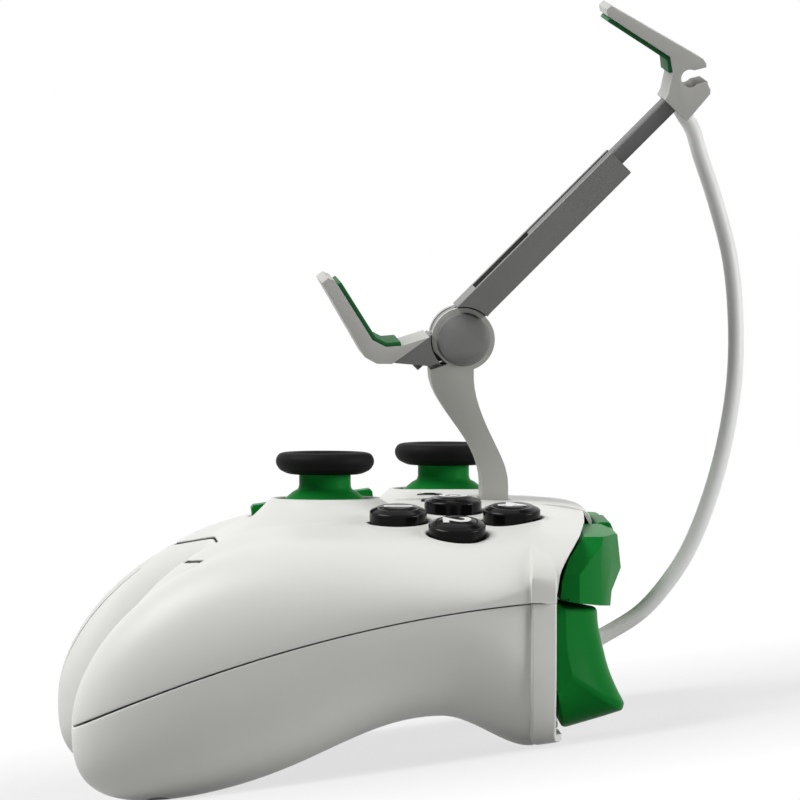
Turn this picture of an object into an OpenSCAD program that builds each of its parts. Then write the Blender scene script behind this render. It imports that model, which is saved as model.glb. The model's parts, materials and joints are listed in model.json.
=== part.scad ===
// Mobile game controller: a two-shell gamepad with a tilting, sliding phone clamp on a curved arm.
// Pieces are drawn in the gamepad's own frame: X to the player's right, Y to the rear, Z up,
// with the face level. stand() then tips the whole object onto the table it rests on.

/* [Gamepad body] */
// Width across both grips
body_w = 150; // [146:1:156]
// Half distance between the middles of the grips
grip_x = 58; // [56:1:60]
// Front tip of the grips
grip_front = -55; // [-58:1:-52]
// Front edge between the grips
arch_front = -28; // [-30:1:-26]
// Rear wall in the middle
rear_mid = 48; // [47.5:0.5:49]
// Rear wall behind the grips
rear_side = 41; // [40:0.5:42]
// Wall of both shells
wall = 2.2; // [1.8:0.1:2.6]
// Gap along the parting line
seam_gap = 0.3; // [0.2:0.1:0.5]
// Width of the lip round the rear edge
lip_w = 4; // [3:0.5:5]
// Height of the lip above the shells
lip_h = 0.7; // [0.4:0.1:1]
// Angle between the face and the table
rest_tilt = 8.3; // [7:0.1:9]

/* [Thumbsticks] */
// Diameter of the stick caps
cap_d = 19.6; // [18:0.2:21]
// Thickness of the stick caps
cap_t = 4.4; // [4:0.2:5]
// Diameter of the stick columns
column_d = 10.3; // [9:0.1:11]
// Diameter of the round skirt under the column
skirt_d = 21.6; // [21:0.1:22]
// Height of the cap's top above the pivot
stick_h = 16.6; // [16:0.2:17.4]
// Height of the collar's rim above the pivot
collar_h = 7.5; // [7:0.1:8]
// Opening in the collar
collar_hole_d = 19.6; // [19:0.2:20.2]

/* [Buttons] */
// Diameter of the face buttons
button_d = 11.4; // [10:0.2:12]
// Distance from the middle of the four face buttons to each
button_pitch = 11.3; // [10.8:0.1:12]
// Height of the face buttons above the face
button_h = 3; // [2.4:0.2:4]
// Travel of the face buttons
button_travel = 1.5; // [1:0.1:1.8]
// Slope of the middle of the four face buttons to the side
button_slope = 9; // [8:0.5:11]
// Further slope of the outer button, and less of the inner one
button_splay = 5; // [4:0.5:6]
// Length across the direction pad
dpad_w = 24.5; // [22:0.5:25]
// Width of its arms
dpad_arm = 7.6; // [7:0.2:9]
// Clearance round moving buttons
button_gap = 0.35; // [0.25:0.05:0.5]
// Gap between the direction pad and its opening
dpad_gap = 0.55; // [0.5:0.05:0.7]

/* [Triggers] */
// Width of a trigger
trigger_w = 25; // [23:0.5:26]
// Middle of a trigger from the middle of the gamepad
trigger_x = 51; // [50:0.5:52]
// Diameter of the trigger pins
trigger_pin_d = 2.4; // [2:0.1:3]
// Inner end of a bumper
bumper_in = 18; // [16:1:22]
// Outer end of a bumper
bumper_out = 67; // [65:0.5:69]

/* [Arm] */
// Width of the arm
arm_w = 20; // [18:0.5:22]
// Thickness of the arm at its foot
arm_foot_t = 5.2; // [4.6:0.1:5.8]
// Thickness of the arm below the hinge
arm_neck_t = 8.6; // [8:0.1:9.2]
// Hinge to the rear of the body's middle
hinge_y = 24.3; // [22:0.1:26]
// Height of the hinge
hinge_z = 92.5; // [88:0.5:96]
// Radius of the arm's ears
ear_r = 6.3; // [6:0.1:6.6]
// How far the clamp can be raised from the angle shown
clamp_lift = 5; // [3:0.5:6]
// Diameter of the hinge pin
hinge_pin_d = 4; // [3:0.1:5]
// Gap between the arm's ears
fork_gap = 10.8; // [10:0.2:12]

/* [Phone clamp] */
// Slope of the clamp
clamp_tilt = 45; // [40:1:50]
// Width of the bracket
bracket_w = 24; // [22:0.5:26]
// Top end of the bracket from the hinge
bracket_end = 47.3; // [44:0.1:50]
// Thickness of the bracket
bracket_t = 5.5; // [5:0.1:6]
// Width of the sliding rail at its foot
rail_w = 18; // [16:0.5:19]
// Lower end of the rail from the hinge
rail_start = 24; // [23.5:0.5:26]
// Where the upper jaw starts on the rail
jaw_start = 62.2; // [61:0.1:66]
// Width of the jaws
jaw_w = 38; // [34:1:44]
// Thickness of the rubber jaw pads
pad_t = 0.9; // [0.7:0.1:1.2]
// Radius of the cable notch in the upper jaw
notch_r = 1.8; // [1.5:0.1:2]

/* [Cable] */
// Diameter of the cable
cable_d = 3.2; // [2.8:0.1:3.6]
// Length of the cable's strain relief outside the body
boot_len = 4; // [3.5:0.5:6]
// Height of the cable's outlet
outlet_z = 30.2; // [29:0.2:31]

/* [Hidden] */

$fn = 48;
slip = 0.05;        // running clearance round pins
fit = 0.2;          // clearance between fixed pieces
air = 0.3;          // least gap between moving pieces
side = body_w / 2;
stations = 16;      // loft sections on each side of the middle
steps = 22;         // spans along each section
shell_white = [0.90, 0.90, 0.87];
accent_green = [0.06, 0.42, 0.14];
clamp_grey = [0.66, 0.66, 0.63];
bracket_grey = [0.40, 0.40, 0.39];
rail_grey = [0.27, 0.27, 0.27];

// Curves

function clamp01(t) = min(1, max(0, t));
function ease(a, b, v) = let (t = clamp01((v - a) / (b - a))) t * t * (3 - 2 * t);
function mix(a, b, t) = a + (b - a) * t;
function bell(mid, spread, v) = exp(-pow((v - mid) / spread, 2));
function arc_of(u, n) = pow(max(0, 1 - pow(abs(u), n)), 1 / n);

// Body sections across X: the parting line, the plan outline, and the rise above and drop below the line

seam_high = 43.8;
seam_far = 60;
seam_bow = 0.002;
wide_y = 6;         // where the plan is widest
side_soft = 2.3;    // roundness of the sides
corner_square = 5;  // squareness of the rear corners in plan
brow_side = 48.5;   // rear edge of the top shell behind the grips

// Squareness of the rear wall of a section, and roundness of its front
function rear_square(up) = up > 0 ? 14 : 9;
function front_soft(x, up) = mix(6, up > 0 ? 2 : 2.6, ease(20, 52, abs(x)));
function seam_z(y) = seam_high - seam_bow * pow(seam_far - y, 2);
function side_fade(x, n, inset) =
    abs(x) <= grip_x ? 1 : arc_of((abs(x) - grip_x) / (side - inset - grip_x), n);
function front_y(x, inset) =
    let (line = mix(arch_front, grip_front, ease(20, grip_x - 2, abs(x))) + inset)
    mix(wide_y, line, side_fade(x, side_soft, inset));
function rear_wall(x, up) = up > 0
    ? mix(rear_mid + 2, brow_side, ease(10, grip_x, abs(x)))
    : mix(rear_mid, rear_side, ease(18, 36, abs(x)));
function rear_y(x, up, inset) = mix(wide_y, rear_wall(x, up) - inset, side_fade(x, corner_square, inset));
function rise(x, y) =
    let (outer = 18.5 - 0.224 * y + 4.5 * ease(24, 44, y))
    mix(22.3 - 0.135 * y, outer, pow(max(0, abs(x) - 10) / (grip_x - 10), 2));
function drop(x, y) =
    mix(19 + 4 * ease(18, 40, y), 25 - 5 * bell(12, 20, y) + 7 * ease(18, 40, y), ease(12, 50, abs(x)));
function depth(x, y, up, inset) =
    max(0, (up > 0 ? rise(x, y) : drop(x, y)) * side_fade(x, side_soft, 0) - inset);
function section_point(x, u, up, inset) =
    let (
        y = mix(front_y(x, inset), rear_y(x, up, inset), (u + 1) / 2),
        z = depth(x, y, up, inset) * arc_of(u, u < 0 ? front_soft(x, up) : rear_square(up))
    )
    [x, y, seam_z(y) + up * (seam_gap / 2 + z)];
function span_at(x, y, up) = 2 * (y - front_y(x, 0)) / (rear_y(x, up, 0) - front_y(x, 0)) - 1;
function face_z(x, y) = section_point(x, span_at(x, y, 1), 1, 0)[2];
function floor_z(x, y) = section_point(x, span_at(x, y, -1), -1, 0)[2];
// Between the grips the parting line climbs the front wall, up to this share of the rise.
seam_climb = 0.86;
function climb(x) = seam_climb * (1 - ease(49, 58, abs(x)));
function climb_turn(x, up) = acos(arc_of(max(0, climb(x) + up * seam_gap / 50), front_soft(x, 1)));
// A point of a shell's outline from the front rim, t = 0, to the rear rim, t = 1
function outline_point(x, t, up, inset) =
    let (
        tail = 0.35 * climb(x),
        s = up > 0 ? 1 : mix(-tail, 1, t)
    )
    up > 0 ? section_point(x, -cos(mix(climb_turn(x, 1), 180, t)), 1, inset)
    : s < 0 ? section_point(x, -cos(climb_turn(x, -1) * -s / tail), 1, inset)
    : section_point(x, -cos(180 * s), -1, inset);
// Past the hollow's end, the inner points lie flat on the parting line, so the tips are solid.
function inner_point(x, t, up) =
    abs(x) < side - wall - 2
        ? outline_point(x, t, up, wall)
        : let (y = mix(front_y(x, 0), rear_y(x, up, 0), mix(0.12, 0.88, (1 - cos(180 * t)) / 2)))
          [x, y, seam_z(y) + up * seam_gap / 2];
function station_x(k) = (side - 0.05) * sin(90 * k / stations);

row = 2 * (steps + 1);  // points in one section ring: the outer curve out, the inner curve back
last = 2 * stations;

function shell_points(up) = [
    for (k = [-stations:stations])
        for (j = [0:row - 1])
            j <= steps ? outline_point(station_x(k), j / steps, up, 0)
                       : inner_point(station_x(k), (row - 1 - j) / steps, up)
];
function quad(a, b, c, d, turn) = turn ? [[a, b, c], [a, c, d]] : [[c, b, a], [d, c, a]];
function shell_faces(up) = concat(
    [for (i = [0:last - 1], j = [0:row - 1]) let (n = (j + 1) % row)
        each quad(i * row + j, i * row + n, (i + 1) * row + n, (i + 1) * row + j, up > 0)],
    [for (j = [0:steps - 1]) each quad(j, row - 1 - j, row - 2 - j, j + 1, up > 0)],
    [for (j = [0:steps - 1]) let (e = last * row)
        each quad(e + j, e + j + 1, e + row - 2 - j, e + row - 1 - j, up > 0)]
);

// Phone clamp coordinates: a along the clamp from the hinge, b towards the phone

function clamp_yz(a, b) = [
    hinge_y + a * cos(clamp_tilt) - b * sin(clamp_tilt),
    hinge_z + a * sin(clamp_tilt) + b * cos(clamp_tilt)
];

// Bracket seen from the side
bracket_side = [
    [-13.5, 7], [-8.8, 1.4], [-5.5, -0.6], [0, -0.8], [7.6, 0], [bracket_end, 0],
    [bracket_end, bracket_t], [2, bracket_t], [-3, bracket_t - 0.3]
];

// Upper jaw seen from the side, from the jaw's start
upper_jaw_side = [
    [0, bracket_t + 0.4], [0, -0.3], [7.3, 0.3], [7.9, 0.9], [8.3, 2], [11, 5.2], [11.2, 6.2],
    [5.7, 26.8], [4.5, 26.9], [3.7, 25.8], [6.8, 11.2], [5, 8.6], [1.2, 6.2]
];

// Cable path from the rear wall to the upper jaw

outlet_slope = 29;
boot_d = cable_d + 2.2;
cable_end_x = -13;
gland_a = jaw_start + 0.9;  // where the cable enters the back corner of the upper jaw
gland_lean = 17;
gland_deep = 2.6;
gland_b = -0.3;
gland_tip = [gland_a + gland_deep * sin(gland_lean), gland_b + gland_deep * cos(gland_lean)];
cable_bend = [
    [60, 37.4], [65.8, 43.8], [70.3, 51], [74.3, 61], [77.3, 72], [79.2, 84], [79.5, 96],
    [78.4, 108], [75.6, 119.2], [72.6, 128.4]
];
cable_knots = concat(
    [[rear_mid - 3, outlet_z - 3 * tan(outlet_slope)], [rear_mid + 4, outlet_z + 4 * tan(outlet_slope)]],
    cable_bend,
    [clamp_yz(gland_a - 0.9, gland_b - 3.6), clamp_yz(gland_a, gland_b), clamp_yz(gland_tip[0], gland_tip[1])]
);
cable_split = 8;            // the knot where the two lengths meet
knot_last = len(cable_knots) - 1;
cable_cut = 3;              // points to each span
function knot(i) = cable_knots[min(knot_last, max(0, i))];
function spline(i, t) =
    let (p = knot(i - 1), q = knot(i), r = knot(i + 1), s = knot(i + 2))
    0.5 * (2 * q + (r - p) * t + (2 * p - 5 * q + 4 * r - s) * t * t + (3 * q - p - 3 * r + s) * t * t * t);
cable_path = [
    for (i = [0:knot_last - 1], c = [0:cable_cut - 1]) spline(i, c / cable_cut),
    knot(knot_last)
];
path_last = len(cable_path) - 1;
function cable_point(i) =
    let (p = cable_path[i]) [cable_end_x * ease(0, 1, clamp01((i - 6) / (path_last - 10))), p[0], p[1]];

// The lip's line across the body at the rear edge

lip_y = rear_side - lip_w / 2;
lip_tail = 1.2;             // the lip of the bottom shell reaches further back
lip_cuts = 24;
lip_side = max([for (k = [0:stations]) rear_y(station_x(k), -1, 0) > rear_side - 0.6 ? station_x(k) : 0]);
function lip_line(up, grow) = [
    for (i = [-lip_cuts:lip_cuts])
        let (
            x = lip_side * sin(90 * i / lip_cuts),
            full = depth(x, lip_y, up, 0) * arc_of(span_at(x, lip_y, up), rear_square(up)),
            h = max(0, full + min(grow, 0)),
            out = grow < 0 ? grow : up > 0 ? grow * (1 - ease(2, 10, h)) : grow
        )
        [x * (1 + out / side),
         seam_z(lip_y) + up * (seam_gap / 2 + h - (up > 0 ? 0.6 * ease(2, 10, h) : -max(grow, 0)))]
];

// The table touches the lowest points of the shells and the lip once they are tipped.

outer_points = [
    for (k = [-stations:stations], j = [0:steps]) outline_point(station_x(k), j / steps, -1, 0)
];
function tipped_y(p) = p[1] * cos(rest_tilt) + p[2] * sin(rest_tilt);
function tipped_z(p) = p[2] * cos(rest_tilt) - p[1] * sin(rest_tilt);
lip_foot = [for (p = lip_line(-1, lip_h)) [p[0], rear_side + lip_tail, p[1]]];
table_z = min([for (p = concat(outer_points, lip_foot)) tipped_z(p)]);
front_reach = min([for (p = outer_points) tipped_y(p)]);
rear_reach = max([for (p = upper_jaw_side) tipped_y(concat(0, clamp_yz(jaw_start + p[0], p[1])))]);
middle_y = (front_reach + rear_reach) / 2;

module stand() translate([0, -middle_y, -table_z]) rotate([-rest_tilt, 0, 0]) children();
module on_clamp() translate([0, hinge_y, hinge_z]) rotate([clamp_tilt, 0, 0]) children();
module along_x(w) rotate([90, 0, 90]) linear_extrude(w, center = true) children();
module rod_x(len, d) rotate([0, 90, 0]) cylinder(h = len, d = d, center = true);
module rod_y(len, d) rotate([90, 0, 0]) cylinder(h = len, d = d, center = true);
module rounded(r) offset(r, $fn = 24) offset(-2 * r, $fn = 24) offset(r, $fn = 24) children();
module mirrored(left) {
    if (left) mirror([1, 0, 0]) children();
    else children();
}

// Places on the face

right_stick = [22, -3.7];
left_stick = [-42, 22.2];
collar_top = [61.4, 60.6];  // right, left
dpad_at = [-22, -4.9];
dpad_slope = 8;
field_at = [43, 21.5];
home_at = [0, 17];
small_at = [12, 18.4];
home_d = 11;
small_d = 5.2;
arm_y = 30.7;
board_z = 44;
board_t = 1.6;
board_w = 100;
board_len = 42;
board_front = -8.5;
board_top = board_z + board_t;
seat_depth = 1.6;           // skin above a button's flange
flange_w = 1.3;
flange_t = 1.2;

function face_at(p) = [p[0], p[1], face_z(p[0], p[1])];
function pivot(left) = concat(left ? left_stick : right_stick, collar_top[left ? 1 : 0] - collar_h);
function field_spot(i) = button_pitch * [cos(90 * i), sin(90 * i)];  // 0 right, 1 rear, 2 left, 3 front
function button_tilt(i) = button_slope + button_splay * cos(90 * i);
module on_button(i) translate(face_at(field_at + field_spot(i))) rotate([0, button_tilt(i), 0]) children();
module on_dpad() translate(face_at(dpad_at)) rotate([dpad_slope, 0, 0]) children();

// Shells

skirt_air = 0.6;
collar_rim = 1;
collar_flare = 4.4;
collar_foot = 7.4;
collar_drop = 7;
lug_at = [bumper_in + 3, 40.5];
bumper_pin_d = 2;
lug_z = [46, 53];
post_at = [[0, -4], [46, -3], [-46, -3]];
post_r = 2.2;
screw_at = [[60, -38], [54, 30.5]];
boss_r = 3.2;
screw_d = 2;
head_d = 4.4;
head_drop = 6;              // screw heads below the parting line
socket_wall = 2;
socket_floor = 50;
arm_foot_z = 52.2;
arm_screw_d = 2.8;
arm_screw_bite = 6.8;       // length of the screw in the arm
trigger_pin_at = [37, 40];
rib_t = 2.2;

module half_shell(up) polyhedron(shell_points(up), shell_faces(up));

// The lip follows the body's outline at the rear edge and fades out over the top shell.
module lip(up) {
    outer = lip_line(up, lip_h);
    inner = lip_line(up, -wall);
    base = seam_z(lip_y) + up * seam_gap / 2;
    tail = up < 0 ? lip_tail : 0;
    translate([0, rear_side + tail, 0]) rotate([90, 0, 0]) linear_extrude(lip_w + tail) difference() {
        polygon(concat([[outer[0][0], base]], outer, [[outer[2 * lip_cuts][0], base]]));
        polygon(concat([[inner[0][0], base - up]], inner, [[inner[2 * lip_cuts][0], base - up]]));
    }
}

module collar(left)
    translate(concat(left ? left_stick : right_stick, collar_top[left ? 1 : 0] - collar_drop))
        rotate_extrude() polygon([
            [0, 0],
            [collar_hole_d / 2 + collar_foot, 0],
            [collar_hole_d / 2 + collar_foot - 1, collar_drop - 5.4],
            [collar_hole_d / 2 + collar_flare, collar_drop - 3.4],
            [collar_hole_d / 2 + collar_rim, collar_drop],
            [0, collar_drop]
        ]);

module button_well(d) {
    cylinder(h = 12, r = d / 2 + button_gap, center = true);
    translate([0, 0, -seat_depth - 16]) cylinder(h = 16, r = d / 2 + flange_w + 0.5);
}

module dpad_cross(grow)
    for (turn = [0, 90]) rotate(turn) square([dpad_w + 2 * grow, dpad_arm + 2 * grow], center = true);

module face_wells() {
    for (left = [false, true]) translate(pivot(left)) {
        cylinder(h = 20, d = collar_hole_d);
        sphere(r = skirt_d / 2 + skirt_air);
    }
    for (i = [0:3]) on_button(i) button_well(button_d);
    on_dpad() linear_extrude(20, center = true) dpad_cross(dpad_gap);
    for (s = [-1, 1]) translate(face_at([s * small_at[0], small_at[1]])) button_well(small_d);
    translate(face_at(home_at)) button_well(home_d);
}

// The curved edge where the top shell meets a bumper, seen from the side
bumper_edge = [[49.6, 60], [48.6, 57.5], [46, 54.7], [43.2, 50.8], [41.8, 46.6], [41.6, 43]];
bumper_travel = 0.95;

module bumper_bay(left)
    mirrored(left) translate([bumper_in - air + 40, 0, 0]) along_x(80) polygon(concat(
        [for (p = bumper_edge) p - [bumper_travel, 0]],
        [[bumper_edge[5][0] - bumper_travel, 40], [60, 40], [60, 66], [bumper_edge[0][0] - bumper_travel, 66]]
    ));

module trigger_bay(left)
    mirrored(left) translate([trigger_x - trigger_w / 2 - air, 37.4, 16.1])
        cube([trigger_w + 2 * air, 20, 30]);

module arm_socket() difference() {
    translate([-arm_w / 2 - socket_wall - fit, arm_y - arm_foot_t / 2 - socket_wall - fit, socket_floor])
        cube([arm_w + 2 * (socket_wall + fit), arm_foot_t + 2 * (socket_wall + fit), 8.5]);
    translate([0, arm_y, socket_floor - 1]) cylinder(h = 12, d = arm_screw_d + fit);
}
module arm_slot()
    translate([-arm_w / 2 - fit, arm_y - arm_foot_t / 2 - fit, arm_foot_z - slip])
        cube([arm_w + 2 * fit, arm_foot_t + 2 * fit, 20]);

module top_bosses() {
    for (s = [-1, 1], p = screw_at) let (base = seam_z(p[1]))
        translate([s * p[0], p[1], base]) cylinder(h = face_z(p[0] + 2, p[1] - 3) - 2 - base, r = boss_r);
    for (p = post_at) translate([p[0], p[1], board_top])
        cylinder(h = face_z(p[0], p[1]) - 1 - board_top, r = post_r);
    for (s = [-1, 1]) translate([s * lug_at[0], lug_at[1], lug_z[1] + slip])
        cylinder(h = face_z(lug_at[0], lug_at[1]) - 1 - lug_z[1] - slip, r = 2.4);
}
module top_bores() {
    for (s = [-1, 1], p = screw_at) translate([s * p[0], p[1], seam_z(p[1]) - 1])
        cylinder(h = 8, d = screw_d);
    for (p = post_at) translate([p[0], p[1], board_top - 1]) cylinder(h = 6, d = screw_d);
    for (s = [-1, 1]) translate([s * lug_at[0], lug_at[1], lug_z[1] - 1]) cylinder(h = 5, d = bumper_pin_d);
}

module top_shell() color(shell_white) difference() {
    union() {
        difference() {
            union() {
                half_shell(1);
                lip(1);
            }
            bumper_bay(false);
            bumper_bay(true);
        }
        collar(false);
        collar(true);
        arm_socket();
        top_bosses();
    }
    face_wells();
    arm_slot();
    top_bores();
    along_x(bridge_w) polygon(bridge_side);
}

module trigger_ribs() for (left = [false, true], out = [-1, 1])
    mirrored(left) translate([trigger_x + out * (trigger_w / 2 + air + rib_t / 2), 36.5, 33.1])
        cube([rib_t, 6, 18.2], center = true);

module bottom_bosses() for (s = [-1, 1], p = screw_at) let (base = floor_z(p[0], p[1]) + 1.4)
    translate([s * p[0], p[1], base]) cylinder(h = seam_z(p[1]) - base, r = boss_r);

module bottom_bores() {
    for (s = [-1, 1], p = screw_at) translate([s * p[0], p[1], -5]) {
        cylinder(h = 60, d = screw_d + 2 * slip);
        cylinder(h = seam_z(p[1]) - head_drop + 5, d = head_d + 0.4);
    }
    for (s = [-1, 1]) translate([s * trigger_x, trigger_pin_at[0], trigger_pin_at[1]])
        rod_x(trigger_w + 9, trigger_pin_d);
    translate([0, rear_mid, outlet_z]) rotate([outlet_slope - 90, 0, 0])
        cylinder(h = 14, d = boot_d + 2 * slip, center = true);
}

module bottom_shell() color(shell_white) difference() {
    union() {
        difference() {
            union() {
                half_shell(-1);
                lip(-1);
            }
            trigger_bay(false);
            trigger_bay(true);
        }
        trigger_ribs();
        bottom_bosses();
    }
    bottom_bores();
}

module screw(d, len, head, head_t) {
    cylinder(h = len, d = d);
    translate([0, 0, -head_t]) cylinder(h = head_t, d = head);
}
module shell_screws() color("silver") for (s = [-1, 1], p = screw_at)
    translate([s * p[0], p[1], seam_z(p[1]) - head_drop]) screw(screw_d, head_drop + 6, head_d, 1.6);

// Circuit board with the stick and direction pad carriers

carrier_w = 11.6;
carrier_drop = 3.6;         // top of a stick carrier below the pivot
ear_x = 6.6;
gimbal_pin_d = 2;
dpad_drop = 3.6;            // direction pad pivot below the face
dpad_pin_d = 2;

module dpad_carrier() difference() {
    union() {
        on_dpad() for (s = [-1, 1]) translate([s * 5.2 - 0.8, -2, -12]) cube([1.6, 4, 12 - dpad_drop + 1.7]);
        translate([dpad_at[0] - 6, dpad_at[1] - 3, board_top]) cube([12, 6, 1]);
    }
    on_dpad() translate([0, 0, -dpad_drop]) rod_x(30, dpad_pin_d + 2 * slip);
    translate([dpad_at[0] - 20, dpad_at[1] - 20, 20]) cube([40, 40, board_top - 20]);
}

module main_board() color("darkgreen") difference() {
    union() {
        translate([-board_w / 2, board_front, board_z]) cube([board_w, board_len, board_t]);
        dpad_carrier();
    }
    for (p = post_at) translate([p[0], p[1], 0]) cylinder(h = 80, d = screw_d + 2 * slip);
}

module board_screws() color("silver") for (p = post_at)
    translate([p[0], p[1], board_z]) screw(screw_d, board_t + 4.6, 3.6, 1.2);

module stick_module(left) color("dimgray") translate(pivot(left)) difference() {
    base = board_top - pivot(left)[2];
    union() {
        translate([-carrier_w / 2, -carrier_w / 2, base]) cube([carrier_w, carrier_w, -carrier_drop - base]);
        for (s = [-1, 1]) translate([s * (ear_x + 0.6) - 0.6, -2, base]) cube([1.2, 4, 2 - base]);
        for (s = [-1, 1]) translate([s * 6.4 - 1.4, -2, base]) cube([2.8, 4, -carrier_drop - base]);
    }
    rod_x(30, gimbal_pin_d + 2 * slip);
}

gimbal_r = 5.4;
gimbal_hole = 3.7;
gimbal_t = 3;
lever_d = 4;
lever_pin_d = 1.8;

module stick_yoke(left) color("gainsboro") translate(pivot(left)) difference() {
    union() {
        cylinder(h = gimbal_t, r = gimbal_r, center = true);
        for (s = [-1, 1]) translate([s * 6.2, 0, 0]) rod_x(3.2, gimbal_pin_d);
    }
    cylinder(h = 10, r = gimbal_hole, center = true);
    rod_y(20, lever_pin_d + 2 * slip);
}

module stick_lever(left) color("silver") translate(pivot(left)) {
    translate([0, 0, -1.4]) cylinder(h = 10.4, d = lever_d);
    rod_y(2 * gimbal_r - 0.4, lever_pin_d);
}

skirt_t = 1;
cap_bottom = stick_h - cap_t;
module stick_column(left) color(accent_green) translate(pivot(left)) difference() {
    union() {
        difference() {
            sphere(d = skirt_d);
            sphere(d = skirt_d - 2 * skirt_t);
            translate([0, 0, -18.6]) cylinder(h = 20, r = 20);
        }
        translate([0, 0, 7]) cylinder(h = cap_bottom + 2 - 7, d = column_d);
        translate([0, 0, 4.6]) cylinder(h = 4, d = lever_d + 3);
    }
    translate([0, 0, 2]) cylinder(h = 8.2, d = lever_d + 2 * slip);
}

module stick_cap(left) color("black") translate(pivot(left)) difference() {
    translate([0, 0, cap_bottom]) rotate_extrude() polygon([
        [0, 0], [cap_d / 2 - 2.6, 0], [cap_d / 2 - 0.7, 0.9], [cap_d / 2, 2.1], [cap_d / 2, 3.1],
        [cap_d / 2 - 0.6, 4.1], [cap_d / 2 - 1.7, cap_t], [cap_d / 2 - 2.8, cap_t - 0.1],
        [cap_d / 2 - 4.2, cap_t - 0.7], [0, cap_t - 1.2]
    ]);
    translate([0, 0, cap_bottom - 1]) cylinder(h = 3, d = column_d);
}

// Direction pad, rocking on a two-way pivot

module dpad_rocker() color("silver") on_dpad() translate([0, 0, -dpad_drop]) {
    rod_x(11.6, dpad_pin_d);
    rod_y(11.6, dpad_pin_d);
    cube(3.2, center = true);
}

module dpad() color(accent_green) on_dpad() difference() {
    union() {
        translate([0, 0, -1]) linear_extrude(2) dpad_cross(0);
        translate([0, 0, 1]) linear_extrude(0.5, scale = 0.96) dpad_cross(0);
        for (s = [-1, 1]) translate([-2, s * 5.2 - 0.8, -dpad_drop - 1.8]) cube([4, 1.6, 4.8]);
    }
    translate([0, 0, -dpad_drop]) rod_y(30, dpad_pin_d + 2 * slip);
    translate([0, 0, 14.6]) sphere(r = 13.6);
}

// Face buttons

stem_d = 5;
stem_end = -7;
module round_button(d, proud, stem) {
    rotate_extrude() polygon([
        [0, stem], [stem_d / 2, stem], [stem_d / 2, -seat_depth - flange_t],
        [d / 2 + flange_w, -seat_depth - flange_t], [d / 2 + flange_w, -seat_depth - slip],
        [d / 2, -seat_depth - slip], [d / 2, proud * 0.62], [d / 2 - 0.25, proud * 0.72],
        [d / 2 - 1.5, proud * 0.9], [d / 2 - 1.8, proud * 0.88], [d / 4, proud * 0.98], [0, proud]
    ]);
}
module face_button(i) color("black") on_button(i) round_button(button_d, button_h, stem_end);

module button_membrane() color("gray") {
    translate([field_at[0] - 16.5, field_at[1] - 17, board_top]) cube([23, 28, 0.8]);
    for (i = [0:3]) let (
        p = face_at(field_at + field_spot(i)),
        deep = stem_end - button_travel - 0.6,
        x = p[0] + deep * sin(button_tilt(i)),
        z = p[2] + deep * cos(button_tilt(i))
    ) translate([x, p[1], board_top]) cylinder(h = max(0.8, z - board_top - 0.6), r = 3.6);
}

module small_button(s) color("black") translate(face_at([s * small_at[0], small_at[1]]))
    round_button(small_d, 0.6, -5);
module home_button() color("white") translate(face_at(home_at)) round_button(home_d, 0.6, -5);

// Bumpers and triggers

bumper_back = [[53.6, 55.2], [54.4, 48.5], [52.3, 44.2], [52, 41.3]];
bridge_w = 2 * (bumper_in - air - 0.5);
// The bridge between the bumpers has a tongue through the rear wall.
bridge_side = [
    [46.6, 46.6], [46.6, 49], [49.9, 49], [50.7, 55.1], [51, 56.3], [53.4, 56.3], [54, 54.9],
    [54.4, 48.5], [53, 45.6], [49.9, 45.6], [49.9, 46.6]
];
bumper_mid = (bumper_in + bumper_out) / 2;

module bumper_body() intersection() {
    translate([bumper_mid, 0, 0]) along_x(bumper_out - bumper_in) polygon(concat(
        [[51.4, 56], [47.2, 56]],
        [for (i = [2:5]) bumper_edge[i] + [slip, 0]],
        [[bumper_edge[5][0], 42.9], bumper_back[3], bumper_back[2], bumper_back[1], bumper_back[0]]
    ));
    translate([0, 70, 0]) rotate([90, 0, 0]) linear_extrude(40) polygon([
        [bumper_in, 36], [bumper_out, 36], [bumper_out, 48], [bumper_out - 8, 55.2], [bumper_in, 56.1]
    ]);
    linear_extrude(hinge_z) polygon([
        [bumper_in, 36], [bumper_in, 53], [bumper_in + 2, 54.6], [bumper_out - 22, 54.6],
        [bumper_out - 6, 49.8], [bumper_out, 45.4], [bumper_out, 36]
    ]);
}
module bumper(left) color(accent_green) mirrored(left) difference() {
    union() {
        bumper_body();
        translate([bumper_in + 7, 39.2, 44.6]) cube([33, 6, 5]);
        translate([lug_at[0], lug_at[1], lug_z[0]]) cylinder(h = lug_z[1] - lug_z[0], r = 2.6);
        translate([lug_at[0] - 2.6, lug_at[1], lug_z[0]]) cube([5.2, 6, lug_z[1] - lug_z[0]]);
    }
    translate([lug_at[0], lug_at[1], 40]) cylinder(h = 20, d = bumper_pin_d + 2 * slip);
    translate([lug_at[0], lug_at[1], 40]) cylinder(h = lug_z[0] - 40, r = 2.4);
    translate([bumper_in + 2, bumper_edge[5][0], lug_z[1]]) cube([6, 4, 8]);
    translate([bumper_in - 1, 36, 36])
        cube([trigger_x - trigger_w / 2 - bumper_in + 1, rear_mid - 35, 7.75]);
    translate([trigger_x + trigger_w / 2, 36, 36]) cube([20, rear_side + lip_tail - 34.8, 7.3]);
}
module bumper_bridge() color(accent_green) along_x(bridge_w) polygon(bridge_side);
module bumper_pins() color("silver") for (s = [-1, 1]) translate([s * lug_at[0], lug_at[1], lug_z[0] - slip])
    screw(bumper_pin_d, lug_z[1] - lug_z[0] + 3.8, 3.6, 0.8);

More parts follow.
